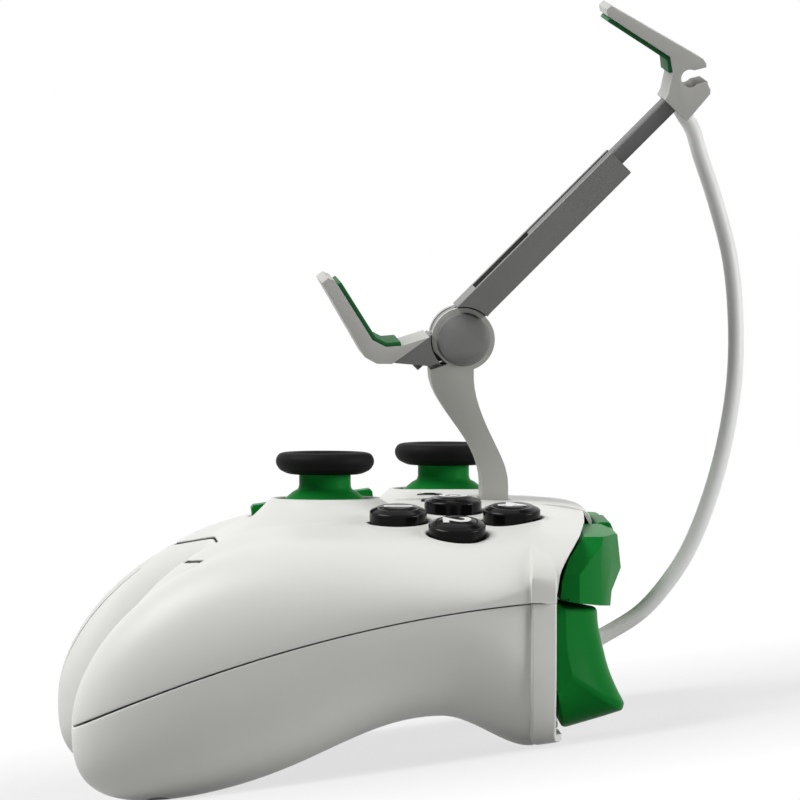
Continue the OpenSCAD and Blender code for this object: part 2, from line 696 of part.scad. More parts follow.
// The blade's profile in its middle; to both sides it draws back and its lower corners round up.
blade = [
    [40.7, 42.4], [49.4, 40.9], [49.6, 37.4], [50.3, 34.3], [51.5, 29.3], [53.1, 25.3], [54.9, 21.9],
    [54.5, 20.5], [50.1, 19.1], [43.1, 17.1], [42.4, 17.3], [40.7, 20.5]
];
blade_points = len(blade);
blade_cuts = 6;
blade_edge = 0.24;          // depth left at the sides
blade_round = 7;            // rise of the lower corners
function blade_x(i) = let (t = i / blade_cuts - 1) trigger_w / 2 * sign(t) * sin(90 * abs(t));
function blade_fade(i) = mix(blade_edge, 1, arc_of(blade_x(i) / (trigger_w / 2), 2.2));
function blade_lift(i, z) = blade_round * pow(abs(blade_x(i)) / (trigger_w / 2), 3) * clamp01((34 - z) / 14);
module trigger_blade() {
    rows = 2 * blade_cuts;
    polyhedron(
        [for (i = [0:rows], p = blade)
            [trigger_x + blade_x(i), mix(blade[0][0], p[0], blade_fade(i)), p[1] + blade_lift(i, p[1])]],
        concat(
            [for (i = [0:rows - 1], j = [0:blade_points - 1]) let (n = (j + 1) % blade_points)
                let (a = i * blade_points, b = a + blade_points)
                each quad(a + j, a + n, b + n, b + j, true)],
            [[for (j = [blade_points - 1:-1:0]) j]],
            [[for (j = [0:blade_points - 1]) rows * blade_points + j]]
        )
    );
}
hub_w = trigger_w - 1.2;
module trigger(left) color(accent_green) mirrored(left) difference() {
    union() {
        trigger_blade();
        translate([trigger_x, 0, 0]) along_x(hub_w)
            polygon([[35.4, 38.2], [41.5, 34], [41.5, 42.1], [36, 42.3]]);
        translate([trigger_x, trigger_pin_at[0], trigger_pin_at[1]]) rod_x(hub_w, 5.4);
    }
    translate([trigger_x, trigger_pin_at[0], trigger_pin_at[1]])
        rod_x(trigger_w + 4, trigger_pin_d + 2 * slip);
}
module trigger_pins() color("silver") for (s = [-1, 1])
    translate([s * trigger_x, trigger_pin_at[0], trigger_pin_at[1]])
        rod_x(trigger_w + 2 * air + 2 * rib_t, trigger_pin_d);

// Curved arm and hinge

arm_bend = 8.6;             // how far the neck stands in front of the foot
arm_turn = [63.5, 85.5];    // heights between which the arm bends
arm_swell = [70, 86];       // heights between which it thickens
function arm_mid(z) = arm_y - arm_bend * ease(arm_turn[0], arm_turn[1], z);
function arm_half(z) = mix(arm_foot_t, arm_neck_t, ease(arm_swell[0], arm_swell[1], z)) / 2;
arm_levels = [for (i = [0:18]) mix(58, hinge_z - 3, i / 18)];

module arm() color(clamp_grey) difference() {
    union() {
        along_x(arm_w) polygon(concat(
            [[arm_y - arm_foot_t / 2, arm_foot_z]],
            [for (z = arm_levels) [arm_mid(z) - arm_half(z), z]],
            [for (i = [18:-1:0]) let (z = arm_levels[i]) [arm_mid(z) + arm_half(z), z]],
            [[arm_y + arm_foot_t / 2, arm_foot_z]]
        ));
        translate([0, hinge_y, hinge_z]) rod_x(arm_w, 2 * ear_r);
    }
    translate([0, hinge_y, hinge_z]) rod_x(fork_gap, 2 * ear_r + 2 * air + 0.4);
    translate([0, hinge_y, hinge_z]) rod_x(arm_w + 10, hinge_pin_d + 2 * slip);
    for (lift = [0, clamp_lift / 2, clamp_lift])
        translate([0, hinge_y, hinge_z]) rotate([clamp_tilt + lift, 0, 0]) along_x(arm_w + 2) intersection() {
            offset(delta = air) polygon(bracket_side);
            translate([-20, -20]) square([20.5 - ear_r, 40]);
        }
    translate([0, arm_y, arm_foot_z - 1]) cylinder(h = arm_screw_bite + 2, d = arm_screw_d);
}
module arm_screw() color("silver") translate([0, arm_y, socket_floor])
    screw(arm_screw_d, arm_foot_z + arm_screw_bite - socket_floor, 5.2, 2.2);
module hinge_pin() color("silver") translate([0, hinge_y, hinge_z]) rod_x(arm_w, hinge_pin_d);
hinge_cap_r = 5.4;
hinge_cap_t = 0.7;
module hinge_caps() color(clamp_grey) for (s = [0, 1]) mirrored(s == 1)
    translate([arm_w / 2, hinge_y, hinge_z]) rotate([0, 90, 0])
        cylinder(h = hinge_cap_t, r1 = hinge_cap_r, r2 = hinge_cap_r - 0.4);

// Phone clamp: bracket, fixed lower jaw, sliding rail and upper jaw

rail_back = 2.3;
rail_front = bracket_t - 0.2;
rail_top_w = rail_w - 3;
jaw_screw_at = [8, -9];

module rail_shape(grow, front)
    polygon([
        [-rail_w / 2 - grow, rail_back - grow], [rail_w / 2 + grow, rail_back - grow],
        [rail_top_w / 2 + grow, front], [-rail_top_w / 2 - grow, front]
    ]);
module along_clamp(from, to) translate([0, to, 0]) rotate([90, 0, 0]) linear_extrude(to - from) children();

module bracket() color(bracket_grey) on_clamp() difference() {
    union() {
        difference() {
            along_x(bracket_w) rounded(0.3) polygon(bracket_side);
            for (s = [-1, 1]) translate([s * (fork_gap / 2 + 20 - air), 0, 0]) rod_x(40, 2 * ear_r + 2 * air);
        }
        rod_x(fork_gap - 2 * air, 2 * ear_r - 0.4);
    }
    rod_x(40, hinge_pin_d + 2 * slip);
    along_clamp(9, bracket_end + 2) rail_shape(slip, bracket_t + 1);
    for (s = [-1, 1]) translate([s * jaw_screw_at[0], jaw_screw_at[1], 0]) {
        cylinder(h = 20, d = screw_d + 2 * slip);
        translate([0, 0, -10]) cylinder(h = 13.4, d = 4);
    }
}

lower_jaw_side = [
    [-4.4, bracket_t + slip], [-6.2, 6.5], [-9.7, 8.3], [-12, 10.3], [-12.9, 13.2], [-9.8, 26.9],
    [-10.4, 28.2], [-12, 28.4], [-16.4, 11.8], [-15.6, 9.2], [-13.5, 7 + slip]
];
module lower_jaw() color(clamp_grey) on_clamp() difference() {
    along_x(jaw_w) polygon(lower_jaw_side);
    for (s = [-1, 1]) translate([s * jaw_screw_at[0], jaw_screw_at[1], 0]) cylinder(h = 7, d = screw_d);
}
module jaw_screws() color("silver") on_clamp() for (s = [-1, 1])
    translate([s * jaw_screw_at[0], jaw_screw_at[1], 3.4]) screw(screw_d, 3.5, 3.6, 1.4);

// A strip of even thickness along a line, on its left side
function strip(p, t) = concat(p, [for (i = [len(p) - 1:-1:0])
    let (d = p[min(i + 1, len(p) - 1)] - p[max(i - 1, 0)]) p[i] + t * [-d[1], d[0]] / norm(d)]);
module lower_jaw_pad() color(accent_green) on_clamp() along_x(jaw_w - 2)
    polygon(strip([[-9.7, 8.3], [-12, 10.3], [-12.9, 13.2], [-10, 26]], -pad_t));

module rail() color(rail_grey) on_clamp() along_clamp(rail_start, jaw_start + 3.2) rail_shape(0, rail_front);

// The notch, from the jaw's start
notch_at = [6.6, 5.3];
module upper_jaw() color(clamp_grey) on_clamp() difference() {
    translate([0, jaw_start, 0]) along_x(jaw_w) difference() {
        polygon(upper_jaw_side);
        translate(notch_at) {
            circle(r = notch_r);
            rotate(-31) translate([0, -1.4]) square([8, 2.8]);
        }
    }
    along_clamp(jaw_start - 1, jaw_start + 3.25) rail_shape(0.02, rail_front + 0.02);
    translate([cable_end_x, gland_a, gland_b]) rotate([-gland_lean, 0, 0]) translate([0, 0, -2])
        cylinder(h = 2 + gland_deep + 0.2, d = cable_d + 0.1);
}
module upper_jaw_pad() color(accent_green) on_clamp() translate([0, jaw_start, 0]) along_x(jaw_w - 2)
    polygon(strip([[3.82, 25.2], [6.8, 11.2], [5, 8.6]], -pad_t));

// Cable and its strain relief

module tube(from, to) {
    sides = 10;
    function along(i) = cable_point(min(path_last, i + 1)) - cable_point(max(0, i - 1));
    function ring(i) =
        let (t = along(i) / norm(along(i)), n = [0, -t[2], t[1]] / norm([t[1], t[2]]), b = cross(t, n))
        [for (s = [0:sides - 1]) let (w = 360 * s / sides)
            cable_point(i) + cable_d / 2 * (cos(w) * n + sin(w) * b)];
    rings = to - from;
    polyhedron(
        [for (i = [from:to]) each ring(i)],
        concat(
            [for (i = [0:rings - 1], j = [0:sides - 1]) let (n = (j + 1) % sides)
                each quad(i * sides + j, i * sides + n, (i + 1) * sides + n, (i + 1) * sides + j, false)],
            [[for (j = [0:sides - 1]) j]],
            [[for (j = [sides - 1:-1:0]) rings * sides + j]]
        )
    );
}
module cable_lower() color("lightgray") tube(0, cable_split * cable_cut);
module cable_upper() color("lightgray") tube(cable_split * cable_cut, path_last);
module cable_boot()
    color("lightgray") translate([0, rear_mid, outlet_z]) rotate([outlet_slope - 90, 0, 0]) difference() {
        union() {
            translate([0, 0, -5]) cylinder(h = 8, d = boot_d);
            translate([0, 0, 3]) cylinder(h = boot_len - 3, d1 = cable_d + 2.8, d2 = cable_d + 1.4);
        }
        cylinder(h = 40, d = cable_d + 0.3, center = true);
    }

// Placed pieces

stand() top_shell();
stand() bottom_shell();
stand() shell_screws();
stand() main_board();
stand() board_screws();
stand() button_membrane();
stand() stick_module(true);  // left_stick_module
stand() stick_yoke(true);  // left_stick_yoke
stand() stick_lever(true);  // left_stick_lever
stand() stick_column(true);  // left_stick_column
stand() stick_cap(true);  // left_stick_cap
stand() stick_module(false);  // right_stick_module
stand() stick_yoke(false);  // right_stick_yoke
stand() stick_lever(false);  // right_stick_lever
stand() stick_column(false);  // right_stick_column
stand() stick_cap(false);  // right_stick_cap
stand() dpad();
stand() dpad_rocker();
stand() face_button(3);  // button_front
stand() face_button(0);  // button_right
stand() face_button(2);  // button_left
stand() face_button(1);  // button_rear
stand() small_button(-1);  // view_button
stand() small_button(1);  // menu_button
stand() home_button();
stand() bumper(true);  // left_bumper
stand() bumper(false);  // right_bumper
stand() bumper_bridge();
stand() trigger(true);  // left_trigger
stand() trigger(false);  // right_trigger
stand() trigger_pins();
stand() bumper_pins();
stand() arm();
stand() arm_screw();
stand() hinge_pin();
stand() hinge_caps();
stand() bracket();
stand() lower_jaw();
stand() lower_jaw_pad();
stand() jaw_screws();
stand() rail();
stand() upper_jaw();
stand() upper_jaw_pad();
stand() cable_boot();
stand() cable_lower();
stand() cable_upper();
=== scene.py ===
"""Mobile game controller: smooth shells, sticks, buttons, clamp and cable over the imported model."""

import json
import math

import bmesh
import bpy
import numpy as np
from bpy.props import FloatProperty, FloatVectorProperty, IntProperty, PointerProperty
from mathutils import Matrix, Vector

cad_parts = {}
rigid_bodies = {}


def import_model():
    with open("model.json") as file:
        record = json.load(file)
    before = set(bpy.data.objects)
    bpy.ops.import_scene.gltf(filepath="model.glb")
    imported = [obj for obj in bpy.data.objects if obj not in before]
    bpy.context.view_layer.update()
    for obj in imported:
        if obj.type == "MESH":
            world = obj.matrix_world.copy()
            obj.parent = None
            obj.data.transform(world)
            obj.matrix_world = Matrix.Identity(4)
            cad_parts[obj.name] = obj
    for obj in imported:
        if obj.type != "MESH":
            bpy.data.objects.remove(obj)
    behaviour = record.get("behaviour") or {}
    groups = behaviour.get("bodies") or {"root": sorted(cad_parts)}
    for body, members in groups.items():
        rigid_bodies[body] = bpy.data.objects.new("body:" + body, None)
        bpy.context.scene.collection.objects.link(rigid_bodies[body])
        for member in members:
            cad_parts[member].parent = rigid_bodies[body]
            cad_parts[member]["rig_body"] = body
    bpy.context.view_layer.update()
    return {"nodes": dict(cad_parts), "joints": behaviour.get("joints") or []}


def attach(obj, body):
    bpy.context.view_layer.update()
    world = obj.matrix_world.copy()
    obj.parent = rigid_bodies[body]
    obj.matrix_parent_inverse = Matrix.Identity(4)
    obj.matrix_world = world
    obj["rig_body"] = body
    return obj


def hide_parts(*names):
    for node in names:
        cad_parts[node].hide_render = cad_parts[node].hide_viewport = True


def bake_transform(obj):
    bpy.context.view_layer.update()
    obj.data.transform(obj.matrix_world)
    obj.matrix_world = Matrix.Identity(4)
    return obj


bl_info = {
    "name": "Mobile game controller",
    "version": (1, 0, 0),
    "blender": (4, 5, 0),
    "location": "3D View > Sidebar > Controller",
    "description": "Dresses the packed game controller with smooth pieces and finishes",
    "category": "Object",
}

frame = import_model()
JOINTS = {joint["name"]: joint for joint in frame["joints"]}

# The gamepad's own frame: millimetres, X to the player's right, Y to the rear, Z up, the face level.
# STAND puts what is drawn there in its place; a copy of a CAD mesh has its place already and stays UNMOVED.
MM = 0.001
REST_TILT = math.radians(8.3)
HINGE = Vector((0, 24.3, 92.5))
CLAMP_TILT = math.radians(45)
LEVEL = Matrix.Rotation(-REST_TILT, 4, "X") @ Matrix.Scale(MM, 4)
STAND = Matrix.Translation(Vector(JOINTS["clamp_tilt"]["pos_m"]) - LEVEL @ HINGE) @ LEVEL
UNMOVED = Matrix.Identity(4)


# Sizes and colours


def size(name, default, text):
    return FloatProperty(name=name, description=text + ", in millimetres", default=default, min=0, max=200)


def whole_number(name, default, text):
    return IntProperty(name=name, description=text, default=default, min=16)


def colour(name, default, text):
    return FloatVectorProperty(
        name=name, description=text, subtype="COLOR", size=3, min=0, max=1, default=default
    )


class ControllerSizes(bpy.types.PropertyGroup):
    """Sizes in millimetres, and counts of sections and spans"""

    body_width: size("Body width", 150, "Width across both grips")
    wall: size("Wall", 2.2, "Wall of both shells")
    seam_gap: size("Seam gap", 0.3, "Gap along the parting line")
    lip_height: size("Lip height", 0.55, "Height of the lip at the rear edge")
    edge_round: size("Edge rounding", 0.35, "Rounding of the moulded edges")
    cap_diameter: size("Cap diameter", 19.6, "Diameter of the stick caps")
    button_diameter: size("Button diameter", 11.4, "Diameter of the face buttons")
    cable_diameter: size("Cable diameter", 3.2, "Diameter of the cable")
    stations: whole_number("Stations", 80, "Sections along each half of the body")
    outline_steps: whole_number("Outline steps", 72, "Spans along each section")


class ControllerColours(bpy.types.PropertyGroup):
    """Colours of the finishes"""

    shell: colour("Shell", (0.80, 0.80, 0.765), "Warm white shells")
    green: colour("Green", (0.007, 0.19, 0.028), "Green bumpers, triggers and stick columns")
    pad_green: colour("Pad green", (0.010, 0.12, 0.03), "Rubber pads of the jaws")
    black: colour("Black", (0.004, 0.004, 0.004), "Gloss black buttons")
    rubber: colour("Rubber", (0.005, 0.005, 0.005), "Stick caps")
    arm_grey: colour("Arm grey", (0.52, 0.515, 0.485), "Arm and jaws")
    bracket_grey: colour("Bracket grey", (0.195, 0.195, 0.19), "Bracket")
    rail_grey: colour("Rail grey", (0.075, 0.073, 0.073), "Sliding rail")
    cable: colour("Cable", (0.87, 0.87, 0.85), "Cable")
    numeral: colour("Numeral", (0.85, 0.85, 0.85), "Numbers on the face buttons")


def sizes():
    return bpy.context.scene.controller_sizes


def colours():
    return bpy.context.scene.controller_colours


# Finishes

BROAD_PATCHES, GLOSS_SPREAD = 45, 0.1
FINISHES = {}


def new_finish(name, base, roughness, **sockets):
    """A material, and the nodes, the links and the one Principled shader of its tree."""
    made = bpy.data.materials.new(name)
    made.use_nodes = True
    nodes, links = made.node_tree.nodes, made.node_tree.links
    shader = nodes["Principled BSDF"]
    shader.inputs["Base Color"].default_value = (*base, 1)
    shader.inputs["Roughness"].default_value = roughness
    for socket, value in sockets.items():
        shader.inputs[socket.replace("_", " ")].default_value = value
    return made, nodes, links, shader


def noise(nodes, links, scale, detail=2.0, stretch=(1, 1, 1)):
    """Noise on Object coordinates; scale counts patches to the metre."""
    where = nodes.new("ShaderNodeTexCoord")
    mapping = nodes.new("ShaderNodeMapping")
    mapping.inputs["Scale"].default_value = stretch
    texture = nodes.new("ShaderNodeTexNoise")
    texture.inputs["Scale"].default_value = scale
    texture.inputs["Detail"].default_value = detail
    links.new(where.outputs["Object"], mapping.inputs["Vector"])
    links.new(mapping.outputs["Vector"], texture.inputs["Vector"])
    return texture.outputs["Fac"]


def ramp(nodes, links, value, low, high, start=0.3, end=0.7):
    """Turns a value from start to end into one from low to high."""
    spread = nodes.new("ShaderNodeMapRange")
    for socket, number in (("From Min", start), ("From Max", end), ("To Min", low), ("To Max", high)):
        spread.inputs[socket].default_value = number
    links.new(value, spread.inputs["Value"])
    return spread.outputs["Result"]


def tint(nodes, links, value, dark, light, shader):
    """Colours the shader from dark to light along a value."""
    blend = nodes.new("ShaderNodeMix")
    blend.data_type = "RGBA"
    factor, first, second, mixed = blend.inputs[0], blend.inputs[6], blend.inputs[7], blend.outputs[2]
    first.default_value = (*dark, 1)
    second.default_value = (*light, 1)
    links.new(value, factor)
    links.new(mixed, shader.inputs["Base Color"])


def grain(nodes, links, pattern, depth, shader):
    """Bumps the shader's surface along a pattern, by a depth in metres."""
    bump = nodes.new("ShaderNodeBump")
    bump.inputs["Strength"].default_value = 1.0
    bump.inputs["Distance"].default_value = depth
    links.new(pattern, bump.inputs["Height"])
    links.new(bump.outputs["Normal"], shader.inputs["Normal"])


def moulded(name, base, roughness, spark, depth, vary, specular=0.5):
    """Moulded plastic or rubber: fine spark-eroded grain, broad slight change of colour and of gloss."""
    made, nodes, links, shader = new_finish(name, base, roughness, Specular_IOR_Level=specular)
    broad = noise(nodes, links, BROAD_PATCHES, 3)
    dark = [c * (1 - vary) for c in base]
    light = [min(1, c * (1 + vary)) for c in base]
    tint(nodes, links, ramp(nodes, links, broad, 0, 1), dark, light, shader)
    fine = noise(nodes, links, spark, 1.5)
    gloss, dull = roughness * (1 - GLOSS_SPREAD), min(1, roughness * (1 + GLOSS_SPREAD))
    links.new(ramp(nodes, links, fine, gloss, dull), shader.inputs["Roughness"])
    grain(nodes, links, fine, depth, shader)
    return made


def mouldings():
    """Each moulding: name, colour, roughness, grains to the metre, their depth, change of colour, sheen."""
    c = colours()
    return {
        "shell": ("shell_satin", c.shell, 0.42, 3800, 5e-6, 0.012, 0.35),
        "green": ("green_gloss", c.green, 0.34, 2600, 2e-6, 0.05, 0.02),
        "pad": ("pad_rubber", c.pad_green, 0.65, 2200, 2.4e-5, 0.08, 0.25),
        "black": ("black_gloss", c.black, 0.16, 2400, 1.2e-6, 0.10, 0.1),
        "rubber": ("cap_rubber", c.rubber, 0.6, 3000, 1.6e-5, 0.12, 0.08),
        "arm": ("arm_satin", c.arm_grey, 0.45, 3600, 1.5e-6, 0.02, 0.35),
        "bracket": ("bracket_satin", c.bracket_grey, 0.45, 3200, 6e-6, 0.04, 0.3),
        "rail": ("rail_satin", c.rail_grey, 0.42, 3200, 6e-6, 0.05, 0.3),
        "module": ("module_plastic", (0.05, 0.05, 0.05), 0.5, 2600, 8e-6, 0.1),
        "yoke": ("yoke_plastic", (0.62, 0.62, 0.60), 0.45, 2600, 6e-6, 0.03),
        "membrane": ("membrane_silicone", (0.30, 0.30, 0.29), 0.55, 1800, 1.4e-5, 0.06),
        "numeral": ("numeral_white", c.numeral, 0.35, 2600, 2e-6, 0.01),
        "boot": ("boot_rubber", c.cable, 0.5, 2600, 1.2e-5, 0.03),
    }


def steel_finish():
    """Steel with fine lines from the lathe."""
    made, nodes, links, shader = new_finish("turned_steel", (0.56, 0.56, 0.57), 0.32, Metallic=1.0)
    lines = noise(nodes, links, 900, 2, (1, 1, 9))
    links.new(ramp(nodes, links, lines, 0.24, 0.42), shader.inputs["Roughness"])
    grain(nodes, links, lines, 4e-6, shader)
    return made


def board_finish():
    """Solder mask with pale tracks below it."""
    made, nodes, links, shader = new_finish("board_mask", (0.01, 0.10, 0.045), 0.35)
    where = nodes.new("ShaderNodeTexCoord")
    tracks = nodes.new("ShaderNodeTexBrick")
    tracks.inputs["Scale"].default_value = 210
    tracks.inputs["Mortar Size"].default_value = 0.03
    tracks.inputs["Color1"].default_value = (0.008, 0.085, 0.038, 1)
    tracks.inputs["Color2"].default_value = (0.012, 0.105, 0.048, 1)
    tracks.inputs["Mortar"].default_value = (0.03, 0.20, 0.09, 1)
    links.new(where.outputs["Object"], tracks.inputs["Vector"])
    links.new(tracks.outputs["Color"], shader.inputs["Base Color"])
    grain(nodes, links, tracks.outputs["Fac"], 1.5e-5, shader)
    return made


def cable_finish():
    """Soft cable sheath with faint drawn lines along it, on the tube's own UV map."""
    light = tuple(colours().cable)
    dark = [v * 0.95 for v in light]
    made, nodes, links, shader = new_finish("cable_sheath", light, 0.42)
    along = nodes.new("ShaderNodeUVMap")
    along.uv_map = "along"
    mapping = nodes.new("ShaderNodeMapping")
    mapping.inputs["Scale"].default_value = (26, 1.5, 1)
    lines = nodes.new("ShaderNodeTexNoise")
    lines.inputs["Scale"].default_value = 3
    links.new(along.outputs["UV"], mapping.inputs["Vector"])
    links.new(mapping.outputs["Vector"], lines.inputs["Vector"])
    links.new(ramp(nodes, links, lines.outputs["Fac"], 0.36, 0.5), shader.inputs["Roughness"])
    tint(nodes, links, ramp(nodes, links, noise(nodes, links, 60), 0, 1), dark, light, shader)
    grain(nodes, links, lines.outputs["Fac"], 4e-6, shader)
    return made


def finish(name):
    """The finish of that name, made once."""
    if name not in FINISHES:
        others = {"steel": steel_finish, "board": board_finish, "cable": cable_finish}
        FINISHES[name] = others[name]() if name in others else moulded(*mouldings()[name])
    return FINISHES[name]


# Objects and pieces


def linked(name, data):
    """A new object in the scene."""
    made = bpy.data.objects.new(name, data)
    bpy.context.scene.collection.objects.link(made)
    return made


def baked(thing, *others):
    """The plain mesh that an object shows; it and the others leave the scene."""
    made = bpy.data.meshes.new_from_object(thing.evaluated_get(bpy.context.evaluated_depsgraph_get()))
    for used in (thing, *others):
        bpy.data.objects.remove(used)
    return made


def shaded(mesh, look, keep_sharp):
    """Gives a mesh a finish and smooth shading, with edges over keep_sharp degrees left sharp."""
    mesh.shade_smooth()
    mesh.set_sharp_from_angle(angle=math.radians(keep_sharp))
    mesh.materials.clear()
    mesh.materials.append(finish(look))


def shown(name, mesh, look, keep_sharp=32, place=STAND):
    """An object with a finish, its place in its mesh."""
    mesh.validate()
    mesh.transform(place)
    shaded(mesh, look, keep_sharp)
    return linked(name, mesh)


def riding(piece, node):
    """The piece moves with a CAD node's body."""
    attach(piece, frame["nodes"][node]["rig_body"])
    return piece


def piece_of(node, mesh, look, keep_sharp=32, place=STAND):
    """A piece that stands for one CAD node."""
    piece = riding(shown(node + "_skin", mesh, look, keep_sharp, place), node)
    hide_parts(node)
    return piece


def dress(look, *nodes):
    """Gives CAD nodes that are shown as they are a finish and smooth shading."""
    for node in nodes:
        shaded(frame["nodes"][node].data, look, 30)


# Mesh makers; sizes are millimetres in the gamepad's own frame


class Skin:
    """Vertices and faces gathered from several grids."""

    def __init__(self):
        self.verts, self.faces = [], []

    def grid(self, rows, close_along=False, close_across=False):
        """Adds rows as quads; close_along joins each row's ends, close_across the last row and the first."""
        rows = np.asarray(rows, float)
        count, length = rows.shape[:2]
        base = len(self.verts)
        self.verts.extend(map(tuple, rows.reshape(-1, 3)))
        for i in range(count if close_across else count - 1):
            here, beyond = base + i * length, base + (i + 1) % count * length
            for j in range(length if close_along else length - 1):
                k = (j + 1) % length
                self.faces.append([here + j, here + k, beyond + k, beyond + j])

    def loft(self, rows):
        """Adds closed rows as a solid, with a face over the first row and one over the last."""
        first, count = len(self.verts), len(rows[0])
        self.grid(rows, close_along=True)
        last = len(self.verts) - count
        self.faces.append(list(range(first, first + count)))
        self.faces.append(list(range(last, last + count))[::-1])

    def mesh(self, name, recalculate=True):
        """The gathered mesh, with doubles merged and faces turned outwards unless it is kept as gathered."""
        made = bpy.data.meshes.new(name)
        made.from_pydata(self.verts, [], self.faces)
        if recalculate:
            work = bmesh.new()
            work.from_mesh(made)
            bmesh.ops.remove_doubles(work, verts=work.verts, dist=1e-5)
            bmesh.ops.recalc_face_normals(work, faces=work.faces)
            work.to_mesh(made)
            work.free()
        return made


def surface(rows, close=True):
    """An open surface through rows of points."""
    skin = Skin()
    skin.grid(rows, close_along=close)
    return skin.mesh("surface")


def solid(rows):
    """A closed solid through rings of points."""
    skin = Skin()
    skin.loft(rows)
    return skin.mesh("solid")


def lathe(profile, turn, spokes):
    """A turned mesh from (radius, height) points that start and end on the axis or at one point."""
    skin = Skin()
    rows = []
    for k in range(spokes):
        a = 2 * math.pi * k / spokes
        rows.append([turn @ Vector((r * math.cos(a), r * math.sin(a), h)) for r, h in profile])
    skin.grid(rows, close_across=True)
    return skin.mesh("turned")


def placed(flat, heights, where):
    """Flat points of a frame, lifted to their heights along its axis."""
    return np.array(where.translation) + np.column_stack([flat, heights]) @ np.array(where.to_3x3()).T


def prism(flat, where, low, high):
    """A closed prism over a flat outline of a frame."""
    return solid([placed(flat, np.full(len(flat), h), where) for h in (low, high)])


def block(low, high):
    """A box between two corners."""
    (x0, y0, z0), (x1, y1, z1) = low, high
    return prism(np.array([(x0, y0), (x1, y0), (x1, y1), (x0, y1)]), UNMOVED, z0, z1)


def joined(meshes):
    """One mesh from several, as separate islands."""
    whole = bmesh.new()
    for mesh in meshes:
        whole.from_mesh(mesh)
    made = bpy.data.meshes.new("joined")
    whole.to_mesh(made)
    whole.free()
    return made


def cut(mesh, cutters):
    """The mesh less all the cutters."""
    whole, tool = linked("whole", mesh), linked("tool", joined(cutters))
    away = whole.modifiers.new("cut", "BOOLEAN")
    away.operation, away.solver, away.object = "DIFFERENCE", "MANIFOLD", tool
    return baked(whole, tool)


def rounded_copy(node, width, segments=3, angle=28):
    """A copy of a CAD node's mesh with flat faces joined and sharp edges rounded by a width."""
    made = frame["nodes"][node].data.copy()
    work = bmesh.new()
    work.from_mesh(made)
    bmesh.ops.remove_doubles(work, verts=work.verts, dist=1e-6)
    bmesh.ops.dissolve_limit(
        work, angle_limit=math.radians(1.0), verts=work.verts, edges=work.edges, delimit={"NORMAL"}
    )
    sharp = [e for e in work.edges if e.is_manifold and e.calc_face_angle(0) > math.radians(angle)]
    bmesh.ops.bevel(
        work,
        geom=sharp,
        offset=width * MM,
        segments=segments,
        profile=0.6,
        affect="EDGES",
        clamp_overlap=True,
    )
    work.to_mesh(made)
    work.free()
    return made


# Curves and outlines


def ease(a, b, v):
    """0 up to a, 1 from b on, smooth between."""
    t = np.clip((v - a) / (b - a), 0, 1)
    return t * t * (3 - 2 * t)


def mix(a, b, t):
    """From a to b as t goes from 0 to 1."""
    return a + (b - a) * t


def arc_of(u, n):
    """Height of an arch from -1 to 1: round at power 2, squarer above it."""
    return np.maximum(0, 1 - np.abs(u) ** n) ** (1 / n)


def walked(points):
    """The length along a line, at each of its points."""
    return np.concatenate([[0], np.cumsum(np.linalg.norm(np.diff(points, axis=0), axis=1))])


def smooth_line(points, cuts):
    """A curve through points, cut into that many spans between each pair."""
    p = np.array([points[0], *points, points[-1]])
    made = []
    for i in range(1, len(p) - 2):
        a, b, c, d = p[i - 1 : i + 3]
        for t in np.linspace(0, 1, cuts, endpoint=False):
            straight = 2 * b + (c - a) * t
            square = (2 * a - 5 * b + 4 * c - d) * t**2
            cube = (3 * b - a - 3 * c + d) * t**3
            made.append(0.5 * (straight + square + cube))
    return np.array([*made, points[-1]])


def rounded_profile(points, radius, cuts=4, closed=False):
    """A polyline whose corners are rounded; a radius of 0 keeps a corner."""
    p = [np.asarray(q, float) for q in points]
    radii = radius if hasattr(radius, "__len__") else [radius] * len(p)
    made = []
    for i, corner in enumerate(p):
        ends = not closed and i in (0, len(p) - 1)
        if ends or radii[i] == 0:
            made.append(corner)
            continue
        before, after = p[i - 1] - corner, p[(i + 1) % len(p)] - corner
        reach = min(radii[i], 0.45 * np.linalg.norm(before), 0.45 * np.linalg.norm(after))
        a = corner + before / np.linalg.norm(before) * reach
        b = corner + after / np.linalg.norm(after) * reach
        for t in np.linspace(0, 1, cuts + 1):
            made.append((1 - t) ** 2 * a + 2 * t * (1 - t) * corner + t**2 * b)
    return np.array(made)


def circle(radius, count=96):
    """Points of a circle round the origin."""
    a = 2 * np.pi * np.arange(count) / count
    return np.stack([radius * np.cos(a), radius * np.sin(a)], -1)


# Body: the same sections as the CAD shells, with finer steps; up is 1 for the top shell and -1 for the bottom

GRIP_X, GRIP_FRONT, ARCH_FRONT = 58.0, -55.0, -28.0
REAR_MID, REAR_SIDE, BROW_MID, BROW_SIDE = 48.0, 41.0, 50.0, 48.5
WIDE_Y, SIDE_SOFT, CORNER_SQUARE = 6.0, 2.3, 5.0
FRONT_SOFT, GRIP_SOFT, REAR_SQUARE = 6, {1: 2, -1: 2.6}, {1: 14, -1: 9}
SEAM_HIGH, SEAM_FAR, SEAM_BOW = 43.8, 60, 0.002

# Stretches of X over which the front edge, the two rear edges, the front's roundness and the depth change
FRONT_X, BROW_X, REAR_X = (20, GRIP_X - 2), (10, GRIP_X), (18, 36)
SOFT_X, DROP_X = (20, 52), (12, 50)

# Heights of the face in the middle and over the grips, how they fall to the rear, and the brow's swell
FACE_FLAT, FACE_MID, FACE_MID_FALL, FACE_GRIP, FACE_GRIP_FALL = 10, 22.3, 0.135, 18.5, 0.224
BROW_SWELL, BROW_Y = 4.5, (24, 44)

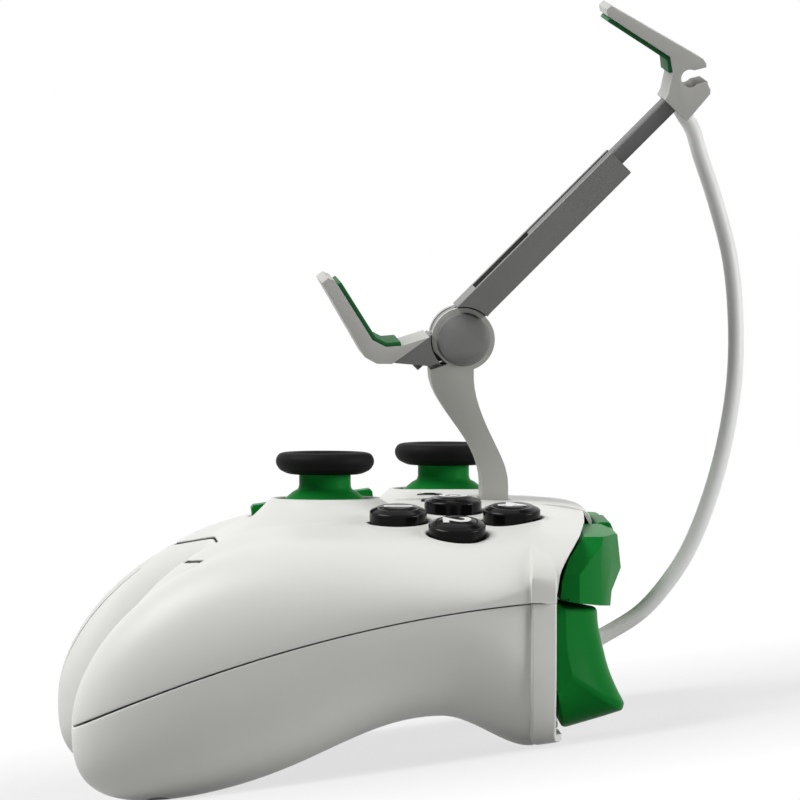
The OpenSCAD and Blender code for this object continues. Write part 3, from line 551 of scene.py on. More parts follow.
# Depths of the underside, the grips' waist, and how much deeper the heel is
BELLY_MID, BELLY_GRIP = 19, 25
WAIST, WAIST_Y, WAIST_LENGTH = 5, 12, 20
HEEL_MID, HEEL_GRIP, HEEL_Y = 4, 7, (18, 40)

# Between the grips the parting line climbs the front wall, up to this share of the rise.
SEAM_CLIMB, CLIMB_FROM, CLIMB_TO = 0.86, 49, 58
CLIMB_RISE, CLIMB_WIDEN, CLIMB_SHARE = 25, 26, 0.35
STEEP_FROM, STEEP_TO, STEEP_STEP = 48.7, 58.6, 0.6
# A black strip just inside that gap is painted shade: how far it runs along X, how deep it sits, and its
# count of sections.
SHADE_STRIP_X, SHADE_STRIP_INSET, SHADE_STRIP_STATIONS = 57.5, 0.35, 400

# The top shell's rear edge along the bumpers, which start this far from the middle, as (Y, Z) points.
BAY_START = 17.7
BAY_EDGE = np.array(
    [(48.65, 60), (47.65, 57.5), (45.05, 54.7), (42.25, 50.8), (40.85, 46.6), (40.65, 43), (40.65, 40)]
)
STATION_INSET, STATION_CLEAR, STATION_PAIR = 0.05, 0.25, 0.01
INNER_STEPS, END_SHARE = 24, 0.12
ROUND_STEPS = (0.0, 0.35, 0.7, 1.0)


def seam_z(y):
    """Height of the parting line at the sides."""
    return SEAM_HIGH - SEAM_BOW * (SEAM_FAR - y) ** 2


def side_fade(x, n, inset):
    """1 as far as the middle of a grip, then round down to 0 at the body's side."""
    half = sizes().body_width / 2
    past = np.maximum(0, np.abs(x) - GRIP_X) / (half - inset - GRIP_X)
    return arc_of(past, n)


def front_y(x, inset):
    """The front edge in plan."""
    edge = mix(ARCH_FRONT, GRIP_FRONT, ease(*FRONT_X, np.abs(x))) + inset
    return mix(WIDE_Y, edge, side_fade(x, SIDE_SOFT, inset))


def rear_y(x, up, inset):
    """The rear edge in plan."""
    top = mix(BROW_MID, BROW_SIDE, ease(*BROW_X, np.abs(x)))
    low = mix(REAR_MID, REAR_SIDE, ease(*REAR_X, np.abs(x)))
    return mix(WIDE_Y, (top if up > 0 else low) - inset, side_fade(x, CORNER_SQUARE, inset))


def rise(x, y):
    """Height of the face over the parting line, from the middle out to the grips."""
    middle = FACE_MID - FACE_MID_FALL * y
    outer = FACE_GRIP - FACE_GRIP_FALL * y + BROW_SWELL * ease(*BROW_Y, y)
    return mix(middle, outer, (np.maximum(0, np.abs(x) - FACE_FLAT) / (GRIP_X - FACE_FLAT)) ** 2)


def drop(x, y):
    """Depth of the underside below the parting line, from the middle out to the grips."""
    heel = ease(*HEEL_Y, y)
    outer = BELLY_GRIP - WAIST * np.exp(-(((y - WAIST_Y) / WAIST_LENGTH) ** 2)) + HEEL_GRIP * heel
    return mix(BELLY_MID + HEEL_MID * heel, outer, ease(*DROP_X, np.abs(x)))


def depth(x, y, up, inset):
    """How far a shell stands from the parting line."""
    full = rise(x, y) if up > 0 else drop(x, y)
    return np.maximum(0, full * side_fade(x, SIDE_SOFT, 0) - inset)


def front_soft(x, up):
    """Power of the front's arch: squarer in the middle than on the grips."""
    return mix(FRONT_SOFT, GRIP_SOFT[up], ease(*SOFT_X, np.abs(x)))


def span_at(x, y, up):
    """Where y lies on a section, from -1, the front, to 1, the rear."""
    return np.clip(2 * (y - front_y(x, 0)) / (rear_y(x, up, 0) - front_y(x, 0)) - 1, -1, 1)


def section_point(x, u, up, inset):
    """Points of a section at x for spans u from -1, the front, to 1, the rear."""
    y = mix(front_y(x, inset), rear_y(x, up, inset), (u + 1) / 2)
    round_off = np.where(u < 0, arc_of(u, front_soft(x, up)), arc_of(u, REAR_SQUARE[up]))
    z = seam_z(y) + up * (sizes().seam_gap / 2 + depth(x, y, up, inset) * round_off)
    return np.stack([np.broadcast_to(x, np.shape(u)) + 0 * u, y, z], -1)


def face_z(x, y):
    """Height of the top shell's face."""
    x, y = np.asarray(x, float), np.asarray(y, float)
    return section_point(x, span_at(x, y, 1), 1, 0)[..., 2]


def climb(x):
    """How far the parting line has climbed the front wall, as a share of the rise."""
    return SEAM_CLIMB * (1 - ease(CLIMB_FROM, CLIMB_TO, np.abs(x)))


def climb_turn(x, up):
    """Where a shell's front edge ends; the gap widens where the parting line runs steeply."""
    steep = 1 + CLIMB_WIDEN * (climb(x) / SEAM_CLIMB) * (1 - climb(x) / SEAM_CLIMB)
    share = np.maximum(0, climb(x) + up * steep * sizes().seam_gap / (2 * CLIMB_RISE))
    return math.degrees(math.acos(arc_of(share, front_soft(x, 1))))


def front_rim_y(x):
    """How far back the top shell's front rim lies."""
    return section_point(x, -np.cos(np.radians(climb_turn(x, 1))), 1, 0)[1]


def outline(x, up, inset, steps):
    """One section's curve from the front rim to the rear rim."""
    t = np.linspace(0, 1, steps + 1)
    if up > 0:
        turn = climb_turn(x, 1)
        points = section_point(x, -np.cos(np.radians(mix(turn, 180, t))), 1, inset)
        return cut_by_bay(points) if abs(x) > BAY_START else points
    tail = CLIMB_SHARE * climb(x)
    s = mix(-tail, 1, t)
    low = section_point(x, -np.cos(np.radians(180 * np.maximum(s, 0))), -1, inset)
    if tail < 1e-6:
        return low
    high = section_point(x, -np.cos(np.radians(climb_turn(x, -1) * np.maximum(-s, 0) / tail)), 1, inset)
    return np.where((s < 0)[:, None], high, low)


def cut_by_bay(points):
    """Ends a top section where it meets the bumper, keeping its count of points."""
    edge = np.interp(-points[:, 2], -BAY_EDGE[:, 1], BAY_EDGE[:, 0])
    past = points[:, 1] - edge
    beyond = np.nonzero(past > 0)[0]
    if len(beyond) == 0 or beyond[0] == 0:
        return points
    k = beyond[0]
    share = past[k - 1] / (past[k - 1] - past[k])
    kept = np.vstack([points[:k], mix(points[k - 1], points[k], share)])
    walk, whole = walked(kept), walked(points)
    at = whole / whole[-1] * walk[-1]
    return np.stack([np.interp(at, walk, kept[:, i]) for i in range(3)], -1)


def rim_rounded(points, inner):
    """Rounds both ends of a section's curve towards the inner wall."""
    turns = []
    for end, near in ((0, 1), (-1, -2)):
        along, inwards = points[near] - points[end], inner[end] - points[end]
        step, reach = np.linalg.norm(along), max(1e-6, np.linalg.norm(inwards))
        along, inwards = along / max(1e-6, step), inwards / reach
        r = min(sizes().edge_round, 0.4 * reach, 0.4 * step + 0.05)
        turns.append([points[end] + along * r * (1 - s) ** 2 + inwards * r * s**2 for s in ROUND_STEPS])
    front, rear = turns
    return np.vstack([front[::-1], points[1:-1], rear])


def shell_ring(x, up):
    """One section of a shell, round its outside and back along its inner wall; solid near the body's side."""
    s = sizes()
    outer = outline(x, up, 0, s.outline_steps)
    if abs(x) < s.body_width / 2 - s.wall - 2:
        inner = outline(x, up, s.wall, INNER_STEPS)
    else:
        t = np.linspace(0, 1, INNER_STEPS + 1)
        share = mix(END_SHARE, 1 - END_SHARE, (1 - np.cos(np.pi * t)) / 2)
        y = mix(front_y(x, 0), rear_y(x, up, 0), share)
        inner = np.stack([0 * y + x, y, seam_z(y) + up * s.seam_gap / 2], -1)
    return np.vstack([rim_rounded(outer, inner), inner[::-1]])


def shell_stations():
    """Places of the sections: close where the parting line climbs, in pairs where the bumper bays start."""
    s = sizes()
    half = s.body_width / 2 - STATION_INSET
    x = half * np.sin(np.pi / 2 * np.arange(-s.stations, s.stations + 1) / s.stations)
    x = x[np.abs(np.abs(x) - BAY_START) > STATION_CLEAR]
    pairs = [side * (BAY_START + step) for side in (-1, 1) for step in (-STATION_PAIR, STATION_PAIR)]
    steep = np.arange(STEEP_FROM, STEEP_TO, STEEP_STEP)
    x = x[(np.abs(x) < STEEP_FROM - STEEP_STEP / 2) | (np.abs(x) > STEEP_TO)]
    return np.sort(np.concatenate([x, pairs, steep, -steep]))


def plain_shell(up):
    """A shell before its wells and holes are cut."""
    return solid([shell_ring(x, up) for x in shell_stations()])


def gap_shade_strip():
    """A black strip set in the gap where the parting line climbs over the front: painted shade that makes the
    gap look deep.
    """
    rows = []
    for x in np.linspace(-SHADE_STRIP_X, SHADE_STRIP_X, SHADE_STRIP_STATIONS):
        turn = np.linspace(max(0, climb_turn(x, -1) - 1), climb_turn(x, 1) + 1, 6)
        rows.append(section_point(x, -np.cos(np.radians(turn)), 1, SHADE_STRIP_INSET))
    return surface(rows, close=False)


# Lip round the rear edge; the part over the parting line fades out, the part below it steps back

LIP_Y, LIP_FRONT, LIP_REAR, LIP_TAIL = 36.0, 35.7, 40.6, 1.6
LIP_FADE, LIP_UNDER = (6, 15), (58, 67)
LIP_BACK, LIP_SINK, LIP_FADED = 2.6, 1.4, 0.3
LIP_FRONT_SHARE, LIP_REAR_SHARE, LIP_REAR_DROP = 2.3, 0.9, 0.8
LIP_TOE, LIP_SOFT, LIP_SIDE_CLEAR = (0.4, 0.6), [0, 0.5, 0.45, 0, 0], 0.1
LIP_POINTS = 360


def lip_line(up):
    """The body's outline across the lip, from one side's parting line to the other's, and its depth there."""
    wide = np.linspace(0, sizes().body_width / 2, 4000)
    reach = wide[rear_y(wide, up, 0) > LIP_Y].max()
    x = reach * np.sin(np.pi / 2 * np.linspace(-1, 1, 3001))
    h = depth(x, LIP_Y, up, 0) * arc_of(span_at(x, LIP_Y, up), REAR_SQUARE[up])
    x, h = np.concatenate([x[:1], x, x[-1:]]), np.concatenate([[0], h, [0]])
    walk = walked(np.column_stack([x, h]))
    even = np.linspace(0, walk[-1], LIP_POINTS)
    return np.interp(even, walk, x), np.interp(even, walk, h)


def lip_section(under, fade):
    """The lip's cut, as Y and height over the body; under is 1 where it runs below the body."""
    s = sizes()
    front, rear = LIP_FRONT + LIP_BACK * under, LIP_REAR + LIP_TAIL * under
    high = s.lip_height * fade * (1 - LIP_SINK * under) - LIP_FADED * (1 - fade)
    crest = (front, LIP_FRONT_SHARE * high)
    tail = (rear, LIP_REAR_SHARE * high - LIP_REAR_DROP * under)
    toe = (front - LIP_TOE[0], -LIP_TOE[1])
    return rounded_profile([toe, crest, tail, (rear, -s.wall), (front, -s.wall)], LIP_SOFT, 5)


def lip_band(up):
    """The raised lip, a strip with rounded edges swept round the body; above, it fades out."""
    s = sizes()
    side = s.body_width / 2 - LIP_SIDE_CLEAR
    x, h = lip_line(up)
    line = np.column_stack([x, seam_z(LIP_Y) + up * (s.seam_gap / 2 + h)])
    along = np.gradient(line, axis=0)
    out = np.column_stack([along[:, 1], -along[:, 0]]) * -up
    out /= np.linalg.norm(out, axis=1)[:, None]
    fade = 1 - ease(*LIP_FADE, h) if up > 0 else np.ones(len(h))
    low = h < LIP_FADE[1]
    skin = Skin()
    for part in ((x < 0) & low, (x > 0) & low) if up > 0 else (h >= 0,):
        rows = []
        for (px, pz), (nx, nz), k in zip(line[part], out[part], fade[part]):
            under = 1 - ease(*LIP_UNDER, abs(px)) if up < 0 else 0
            y, lift = lip_section(under, k).T
            rows.append(np.column_stack([np.clip(px + nx * lift, -side, side), y, pz + nz * lift]))
        skin.loft(rows)
    return skin.mesh("lip")


# Places on the face

RIGHT_STICK, LEFT_STICK = (22.0, -3.7), (-42.0, 22.2)
FIELD = (43.0, 21.5)
FIELD_PITCH, BUTTON_SLOPE, BUTTON_SPLAY = 11.3, 9.0, 5.0
BUTTON_SPOTS = ("button_right", "button_rear", "button_left", "button_front")
BUTTON_GAP = 0.35
DPAD_AT, DPAD_SLOPE, DPAD_WIDTH, DPAD_ARM, DPAD_SOFT = (-22.0, -4.9), 8.0, 24.5, 7.6, 0.4
HOME_AT, HOME_D = (0.0, 17.0), 11.0
SMALL_AT, SMALL_D = {"menu_button": (12.0, 18.4), "view_button": (-12.0, 18.4)}, 5.2
ARM_Y, ARM_WIDTH, ARM_FOOT, ARM_SOFT = 30.7, 20.0, 5.2, 0.6

# Rims and collars lie this far over the face.
ON_FACE = 0.012

# A rim's points, as distance out from the well and depth below the face
WELL_EDGE = (
    (1.15, 0.06), (1.0, -ON_FACE), (0.6, -ON_FACE), (0.32, 0.03), (0.12, 0.14), (0.0, 0.38), (0.0, 3.5),
)

# A collar's edge, as distance out from the hole and height over its top, and then its flare down to the face.
COLLAR_TOP = {RIGHT_STICK: 61.4, LEFT_STICK: 60.6}
COLLAR_HEIGHT, COLLAR_HOLE, COLLAR_SPOKES = 7.5, 9.8, 128
COLLAR_EDGE = ((0.0, -5.0), (0.0, -0.5), (0.1, -0.2), (0.3, -0.04), (0.6, 0.0), (0.85, -0.06))
FLARE_START, FLARE_DROP, FLARE_SLOPE, FLARE_BLEND = 1.05, 0.14, 1.02, 3.2
FLARE_STEPS = np.concatenate([np.linspace(FLARE_START, 8, 22), np.linspace(8.6, 12.5, 7)])
FLARE_CLEAR, FLARE_FADE, FLARE_SUNK, FRONT_SUNK = 0.5, 3, 0.07, 0.3


def stick_pivot(at):
    return Vector((*at, COLLAR_TOP[at] - COLLAR_HEIGHT))


def on_face(at, tilt=0.0, axis="Y"):
    """The frame of a place on the face, leaning by tilt degrees."""
    return Matrix.Translation((*at, float(face_z(*at)))) @ Matrix.Rotation(math.radians(tilt), 4, axis)


def button_frames():
    """The frames of the four face buttons, which splay out from the middle of their field."""
    made = {}
    for i, name in enumerate(BUTTON_SPOTS):
        a = math.radians(90 * i)
        at = (FIELD[0] + FIELD_PITCH * math.cos(a), FIELD[1] + FIELD_PITCH * math.sin(a))
        made[name] = on_face(at, BUTTON_SLOPE + BUTTON_SPLAY * math.cos(a))
    return made


def dpad_frame():
    return on_face(DPAD_AT, DPAD_SLOPE, "X")


def arm_frame():
    return on_face((0.0, ARM_Y))


def cross(grow):
    """Outline of the direction pad's cross, grown outwards, with rounded corners."""
    w, a = DPAD_WIDTH / 2 + grow, DPAD_ARM / 2 + grow
    corners = []
    for c, s in ((1, 0), (0, 1), (-1, 0), (0, -1)):
        corners += [(c * p - s * q, s * p + c * q) for p, q in ((w, -a), (w, a), (a, a))]
    soft = max(DPAD_SOFT, grow - 0.2)
    return rounded_profile(corners, [soft, soft, DPAD_SOFT] * 4, 6, closed=True)


def slot_outline(grow):
    """Outline of the arm's slot, grown outwards, with rounded corners."""
    w, a = ARM_WIDTH / 2 + grow, ARM_FOOT / 2 + grow
    return rounded_profile([(w, -a), (w, a), (-w, a), (-w, -a)], ARM_SOFT + max(0, grow), 6, closed=True)


def drop_on_face(flat, where):
    """Heights, along a leaning frame's axis, at which flat points of that frame meet the face."""
    h = np.zeros(len(flat))
    for _ in range(12):
        p = placed(flat, h, where)
        h += (face_z(p[:, 0], p[:, 1]) - p[:, 2]) / where[2][2]
    return h


def well_rim(outline_of, where):
    """A rounded edge that lies on the face round a well and runs down its wall."""
    rows = []
    for grow, lower in WELL_EDGE:
        flat = outline_of(grow)
        rows.append(placed(flat, drop_on_face(flat, where) - lower, where))
    return surface(rows)


def collar(at):
    """A stick's collar, from the well's wall over its rim and down a flare that ends before the front rim."""
    top = COLLAR_TOP[at]
    ring = circle(1.0, COLLAR_SPOKES)
    rows = []
    for grow, height in COLLAR_EDGE:
        rows.append(np.column_stack([ring * (COLLAR_HOLE + grow) + at, np.full(len(ring), top + height)]))
    for grow in FLARE_STEPS:
        flat = ring * (COLLAR_HOLE + grow) + at
        behind = flat[:, 1] - np.array([front_rim_y(x) for x in flat[:, 0]]) - FLARE_CLEAR
        flat[:, 1] -= np.minimum(0, behind)
        face = face_z(flat[:, 0], flat[:, 1])
        flare = top - FLARE_DROP - FLARE_SLOPE * (grow - FLARE_START)
        k = np.clip(0.5 + (flare - face) / (2 * FLARE_BLEND), 0, 1)
        lift = (mix(face, flare, k) + FLARE_BLEND * k * (1 - k) - face) * ease(0, FLARE_FADE, behind)
        at_end = FLARE_SUNK * ease(FLARE_STEPS[-1] - 0.5, FLARE_STEPS[-1], grow)
        at_front = FRONT_SUNK * (1 - ease(0.2, 0.9, behind))
        rows.append(np.column_stack([flat, face + lift + ON_FACE - np.maximum(at_end, at_front)]))
    return surface(rows)


# Stage

# The camera looks nearly along the gamepad's X; places in millimetres in its frame, distance in metres.
CAMERA_TARGET, CAMERA_TOWARDS, CAMERA_UP = (0, 12, 80), (1, -0.034, 0.04), (-0.04, 0, 1)
CAMERA_DISTANCE, CAMERA_LENS, CAMERA_SENSOR = 6.667, 1500, 36
LAMP_TARGET = (0, 5, 50)

# Each lamp's place and width in metres and its power in watts
LAMPS = (
    ("key", (0.16, -0.70, 1.25), 0.8, 19.0),
    ("rear", (-0.5, 0.9, 1.1), 0.8, 1.5),
    ("side", (0.45, 1.55, 0.25), 0.7, 18.0),
)
FILL_COLOUR, FILL_STRENGTH = (0.97, 0.98, 1.0, 1), 0.07
FLOOR_HALF, FLOOR_GREY = 9, (0.45, 0.45, 0.45)
WHITE_NEAR, WHITE_FAR, WHITE_FROM, WHITE_TO = 0.72, 1.0, 0.08, 0.22


def seen_rays(nodes, links):
    """1 for camera, glossy and transmission rays, else 0."""
    path = nodes.new("ShaderNodeLightPath")
    last = path.outputs["Is Camera Ray"]
    for name in ("Is Glossy Ray", "Is Transmission Ray"):
        larger = nodes.new("ShaderNodeMath")
        larger.operation = "MAXIMUM"
        links.new(last, larger.inputs[0])
        links.new(path.outputs[name], larger.inputs[1])
        last = larger.outputs[0]
    return last


def choose_shader(nodes, links, share, first, second, output):
    """Shows the first shader where share is 0 and the second where it is 1."""
    choose = nodes.new("ShaderNodeMixShader")
    for source, socket in zip((share, first, second), choose.inputs):
        links.new(source, socket)
    links.new(choose.outputs[0], nodes[output].inputs["Surface"])


class CONTROLLER_OT_stage(bpy.types.Operator):
    """Sets the camera, the lamps, the pale floor and the white background"""

    bl_idname = "controller.stage"
    bl_label = "Stage"

    def execute(self, context):
        context.scene.view_settings.view_transform = "Standard"
        self.camera(context.scene)
        self.lamps()
        self.background(context.scene)
        self.floor()
        return {"FINISHED"}

    def camera(self, scene):
        towards = (STAND.to_3x3() @ Vector(CAMERA_TOWARDS)).normalized()
        up = (STAND.to_3x3() @ Vector(CAMERA_UP)).normalized()
        side = up.cross(towards).normalized()
        turn = Matrix((side, towards.cross(side), towards)).transposed().to_4x4()
        data = bpy.data.cameras.new("camera")
        data.lens, data.sensor_width = CAMERA_LENS, CAMERA_SENSOR
        data.clip_start, data.clip_end = 0.05, 50
        scene.camera = linked("camera", data)
        place = STAND @ Vector(CAMERA_TARGET) + towards * CAMERA_DISTANCE
        scene.camera.matrix_world = Matrix.Translation(place) @ turn

    def lamps(self):
        target = STAND @ Vector(LAMP_TARGET)
        for name, place, width, power in LAMPS:
            data = bpy.data.lights.new(name, "AREA")
            data.size, data.energy = width, power
            turn = (Vector(place) - target).to_track_quat("Z", "Y").to_matrix().to_4x4()
            linked(name, data).matrix_world = Matrix.Translation(Vector(place)) @ turn

    def background(self, scene):
        """Even fill for the object, white where the camera, a gloss or a glass looks past it."""
        world = bpy.data.worlds.new("world")
        world.use_nodes = True
        scene.world = world
        nodes, links = world.node_tree.nodes, world.node_tree.links
        fill = nodes["Background"]
        fill.inputs["Color"].default_value = FILL_COLOUR
        fill.inputs["Strength"].default_value = FILL_STRENGTH
        white = nodes.new("ShaderNodeBackground")
        white.inputs["Color"].default_value = (1, 1, 1, 1)
        white.inputs["Strength"].default_value = 1.0
        share = seen_rays(nodes, links)
        choose_shader(nodes, links, share, fill.outputs[0], white.outputs[0], "World Output")

    def floor(self):
        """A pale floor that keeps the shadow near the object and turns white further off."""
        ends = (-FLOOR_HALF, FLOOR_HALF)
        skin = Skin()
        skin.grid([[(x, y, 0.0) for x in ends] for y in ends])
        floor = linked("floor", skin.mesh("floor", recalculate=False))
        made, nodes, links, shader = new_finish("floor_pale", FLOOR_GREY, 0.85)
        where = nodes.new("ShaderNodeTexCoord")
        far = nodes.new("ShaderNodeVectorMath")
        far.operation = "LENGTH"
        links.new(where.outputs["Object"], far.inputs[0])
        whiter = ramp(nodes, links, far.outputs["Value"], WHITE_NEAR, WHITE_FAR, WHITE_FROM, WHITE_TO)
        share = nodes.new("ShaderNodeMath")
        share.operation = "MULTIPLY"
        links.new(whiter, share.inputs[0])
        links.new(seen_rays(nodes, links), share.inputs[1])
        white = nodes.new("ShaderNodeEmission")
        white.inputs["Strength"].default_value = 1.0
        choose_shader(nodes, links, share.outputs[0], shader.outputs[0], white.outputs[0], "Material Output")
        floor.data.materials.append(made)


# Cable: from its outlet in the rear wall, through listed (Y, Z) points, into the upper jaw

OUTLET, OUTLET_LEAN = (48.0, 30.2), 29
OUTLET_SLOPE = math.tan(math.radians(OUTLET_LEAN))
CABLE_BEND = [
    (60, 37.4), (65.8, 43.8), (70.3, 51), (74.3, 61), (77.3, 72),
    (79.2, 84), (79.5, 96), (78.4, 108), (75.6, 119.2), (72.6, 128.4),
]
CABLE_CUTS, CABLE_SIDES = 12, 20
CABLE_SPLIT, CABLE_END_X = 8, -13.0
UV_LENGTH = 10

# The cable drifts sideways from this knot on, and stops this many spans before its end.
DRIFT_START, DRIFT_STOP = 2, 4 / 3

# The cable's way into the upper jaw, along the clamp and out from its face
JAW_START, GLAND_STEP, GLAND_LEAN, GLAND_RUN = 62.2, 0.9, math.radians(17), 2.6
GLAND_MOUTH, GLAND_LEAD = -0.3, -3.9

# The boot's walls, as distance out from the cable, and its ends along the outlet
BOOT_BORE, BOOT_WALL, BOOT_FLANGE, BOOT_TIP = 0.1, 1.1, 1.4, 0.7
BOOT_INSIDE, BOOT_STEP, BOOT_LENGTH = -5, 3, 4.0


def on_clamp(a, b):
    """A point of the clamp, a along it from the hinge and b out from its face, as Y and Z."""
    c, s = math.cos(CLAMP_TILT), math.sin(CLAMP_TILT)
    return (HINGE.y + a * c - b * s, HINGE.z + a * s + b * c)


def outlet_frame():
    """The frame of the cable's outlet, its axis along the cable."""
    return Matrix.Translation((0, *OUTLET)) @ Matrix.Rotation(math.radians(OUTLET_LEAN - 90), 4, "X")


def cable_line():
    """Points of the whole cable and the number of the one where its two lengths meet."""
    y, z = OUTLET
    gland = JAW_START + GLAND_STEP
    knots = [(y + step, z + step * OUTLET_SLOPE) for step in (-3, 4)]
    knots += [*CABLE_BEND, on_clamp(gland - GLAND_STEP, GLAND_LEAD), on_clamp(gland, GLAND_MOUTH)]
    along, out = GLAND_RUN * math.sin(GLAND_LEAN), GLAND_RUN * math.cos(GLAND_LEAN)
    knots.append(on_clamp(gland + along, GLAND_MOUTH + out))
    flat = smooth_line(knots, CABLE_CUTS)
    spans = np.arange(len(flat)) / CABLE_CUTS
    x = CABLE_END_X * ease(DRIFT_START, len(knots) - 1 - DRIFT_STOP, spans)
    return np.column_stack([x, flat]), CABLE_SPLIT * CABLE_CUTS


def tube(name, line, radius):
    """A tube with closed ends and a UV map, across and along it."""
    sides = CABLE_SIDES
    along = np.gradient(line, axis=0)
    along /= np.linalg.norm(along, axis=1)[:, None]
    normal = np.cross(along, (1, 0, 0))
    normal /= np.linalg.norm(normal, axis=1)[:, None]
    across = np.cross(along, normal)
    turn = 2 * np.pi * np.arange(sides)[:, None] / sides
    c, s = np.cos(turn), np.sin(turn)
    skin = Skin()
    skin.loft([p + radius * (c * n + s * a) for p, n, a in zip(line, normal, across)])
    mesh = skin.mesh(name, recalculate=False)
    walk = walked(line)
    uv = mesh.uv_layers.new(name="along")
    for face in mesh.polygons:
        near_end = {mesh.loops[k].vertex_index % sides for k in face.loop_indices}
        wraps = sides - 1 in near_end and 0 in near_end and len(near_end) == 2
        for k in face.loop_indices:
            i, j = divmod(mesh.loops[k].vertex_index, sides)
            uv.data[k].uv = ((sides if wraps and j == 0 else j) / sides, walk[i] / UV_LENGTH)
    return mesh


def boot_profile(r):
    """The boot round a cable of radius r, as a closed loop."""
    bore, wall = r + BOOT_BORE, r + BOOT_WALL
    line = [(bore, BOOT_INSIDE), (wall, BOOT_INSIDE), (wall, BOOT_STEP), (r + BOOT_FLANGE, BOOT_STEP)]
    line += [(r + BOOT_TIP, BOOT_LENGTH), (bore, BOOT_LENGTH)]
    profile = rounded_profile(line, [0, 0.2, 0.1, 0.2, 0.3, 0])
    return [*profile, profile[0]]


class CONTROLLER_OT_cable(bpy.types.Operator):
    """Lays the cable from the rear wall up to the upper jaw, in two lengths"""

    bl_idname = "controller.cable"
    bl_label = "Cable"

    def execute(self, context):
        diameter = sizes().cable_diameter
        line, split = cable_line()
        for node, part, bodies in (
            ("cable_lower", line[: split + 1], ("gamepad", "clamp")),
            ("cable_upper", line[split:][::-1], ("sliding_jaw", "clamp")),
        ):
            piece = shown(node + "_skin", tube(node, part, diameter / 2), "cable")
            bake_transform(piece)
            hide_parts(node)
        piece_of("cable_boot", lathe(boot_profile(diameter / 2), outlet_frame(), 48), "boot")
        return {"FINISHED"}


# Shells

SCREW_AT = [(60, -38), (54, 30.5)]
HEAD_DROP, HEAD_BORE, SHANK_BORE, PILLAR_R, PILLAR_DOWN = 6.0, 2.4, 1.05, 3.2, 12
TRIGGER_X, TRIGGER_W, TRIGGER_AIR = 51.0, 25.0, 0.3
TRIGGER_PIN = (37.0, 40.0)
TRIGGER_BAY, BAY_FRONT, LIP_BAY_FRONT, BEHIND = (16.1, 46.1), 37.4, 30, 60
RIB_HALF, RIB_Y, RIB_Z = 1.1, (33.5, 39.5), (24, 42.2)
BRIDGE_SLOT = ((-17.3, 46.4, 45.4), (17.3, BEHIND, 49.2))
STICK_WELL, ROUND_WELL = 0.5, 0.75
DPAD_GAP, ARM_GAP, BOOT_GAP = 0.55, 0.2, 1.15

# How far the cutters of wells and holes run along their axes
ROUND_CUT, SLOT_CUT, STICK_CUT, OUTLET_CUT, HEAD_CUT = (-4, 6), (-5, 6), (45, 75), (-7, 7), (-40, 0)


def round_wells():
    """Every round button well: its radius and its frame."""
    made = [(sizes().button_diameter / 2 + BUTTON_GAP, where) for where in button_frames().values()]
    made.append((HOME_D / 2 + BUTTON_GAP, on_face(HOME_AT)))
    made += [(SMALL_D / 2 + BUTTON_GAP, on_face(SMALL_AT[node])) for node in ("view_button", "menu_button")]
    return made


def screw_places():
    """Screw heads under the body, at the height of their seats."""
    return [Vector((side * x, y, float(seam_z(y)) - HEAD_DROP)) for side in (-1, 1) for x, y in SCREW_AT]


def screw_pillar(where):
    """The sleeve inside the bottom shell that holds one screw, bored for its head and its shank."""
    wall = [(SHANK_BORE, 0), (HEAD_BORE, 0), (HEAD_BORE, -PILLAR_DOWN), (PILLAR_R, -PILLAR_DOWN)]
    wall += [(PILLAR_R, HEAD_DROP), (SHANK_BORE, HEAD_DROP), (SHANK_BORE, 0)]
    return lathe(wall, where, 40)


def trigger_bay(side, front):
    """The space that one trigger stands in, open to the rear."""
    x, half = side * TRIGGER_X, TRIGGER_W / 2 + TRIGGER_AIR
    low, high = TRIGGER_BAY
    return block((x - half, front, low), (x + half, BEHIND, high))


def trigger_ribs(side):
    """The two ribs that hold one trigger's pin."""
    made = []
    for out in (-1, 1):
        x = side * TRIGGER_X + out * (TRIGGER_W / 2 + TRIGGER_AIR + RIB_HALF)
        made.append(block((x - RIB_HALF, RIB_Y[0], RIB_Z[0]), (x + RIB_HALF, RIB_Y[1], RIB_Z[1])))
    return made


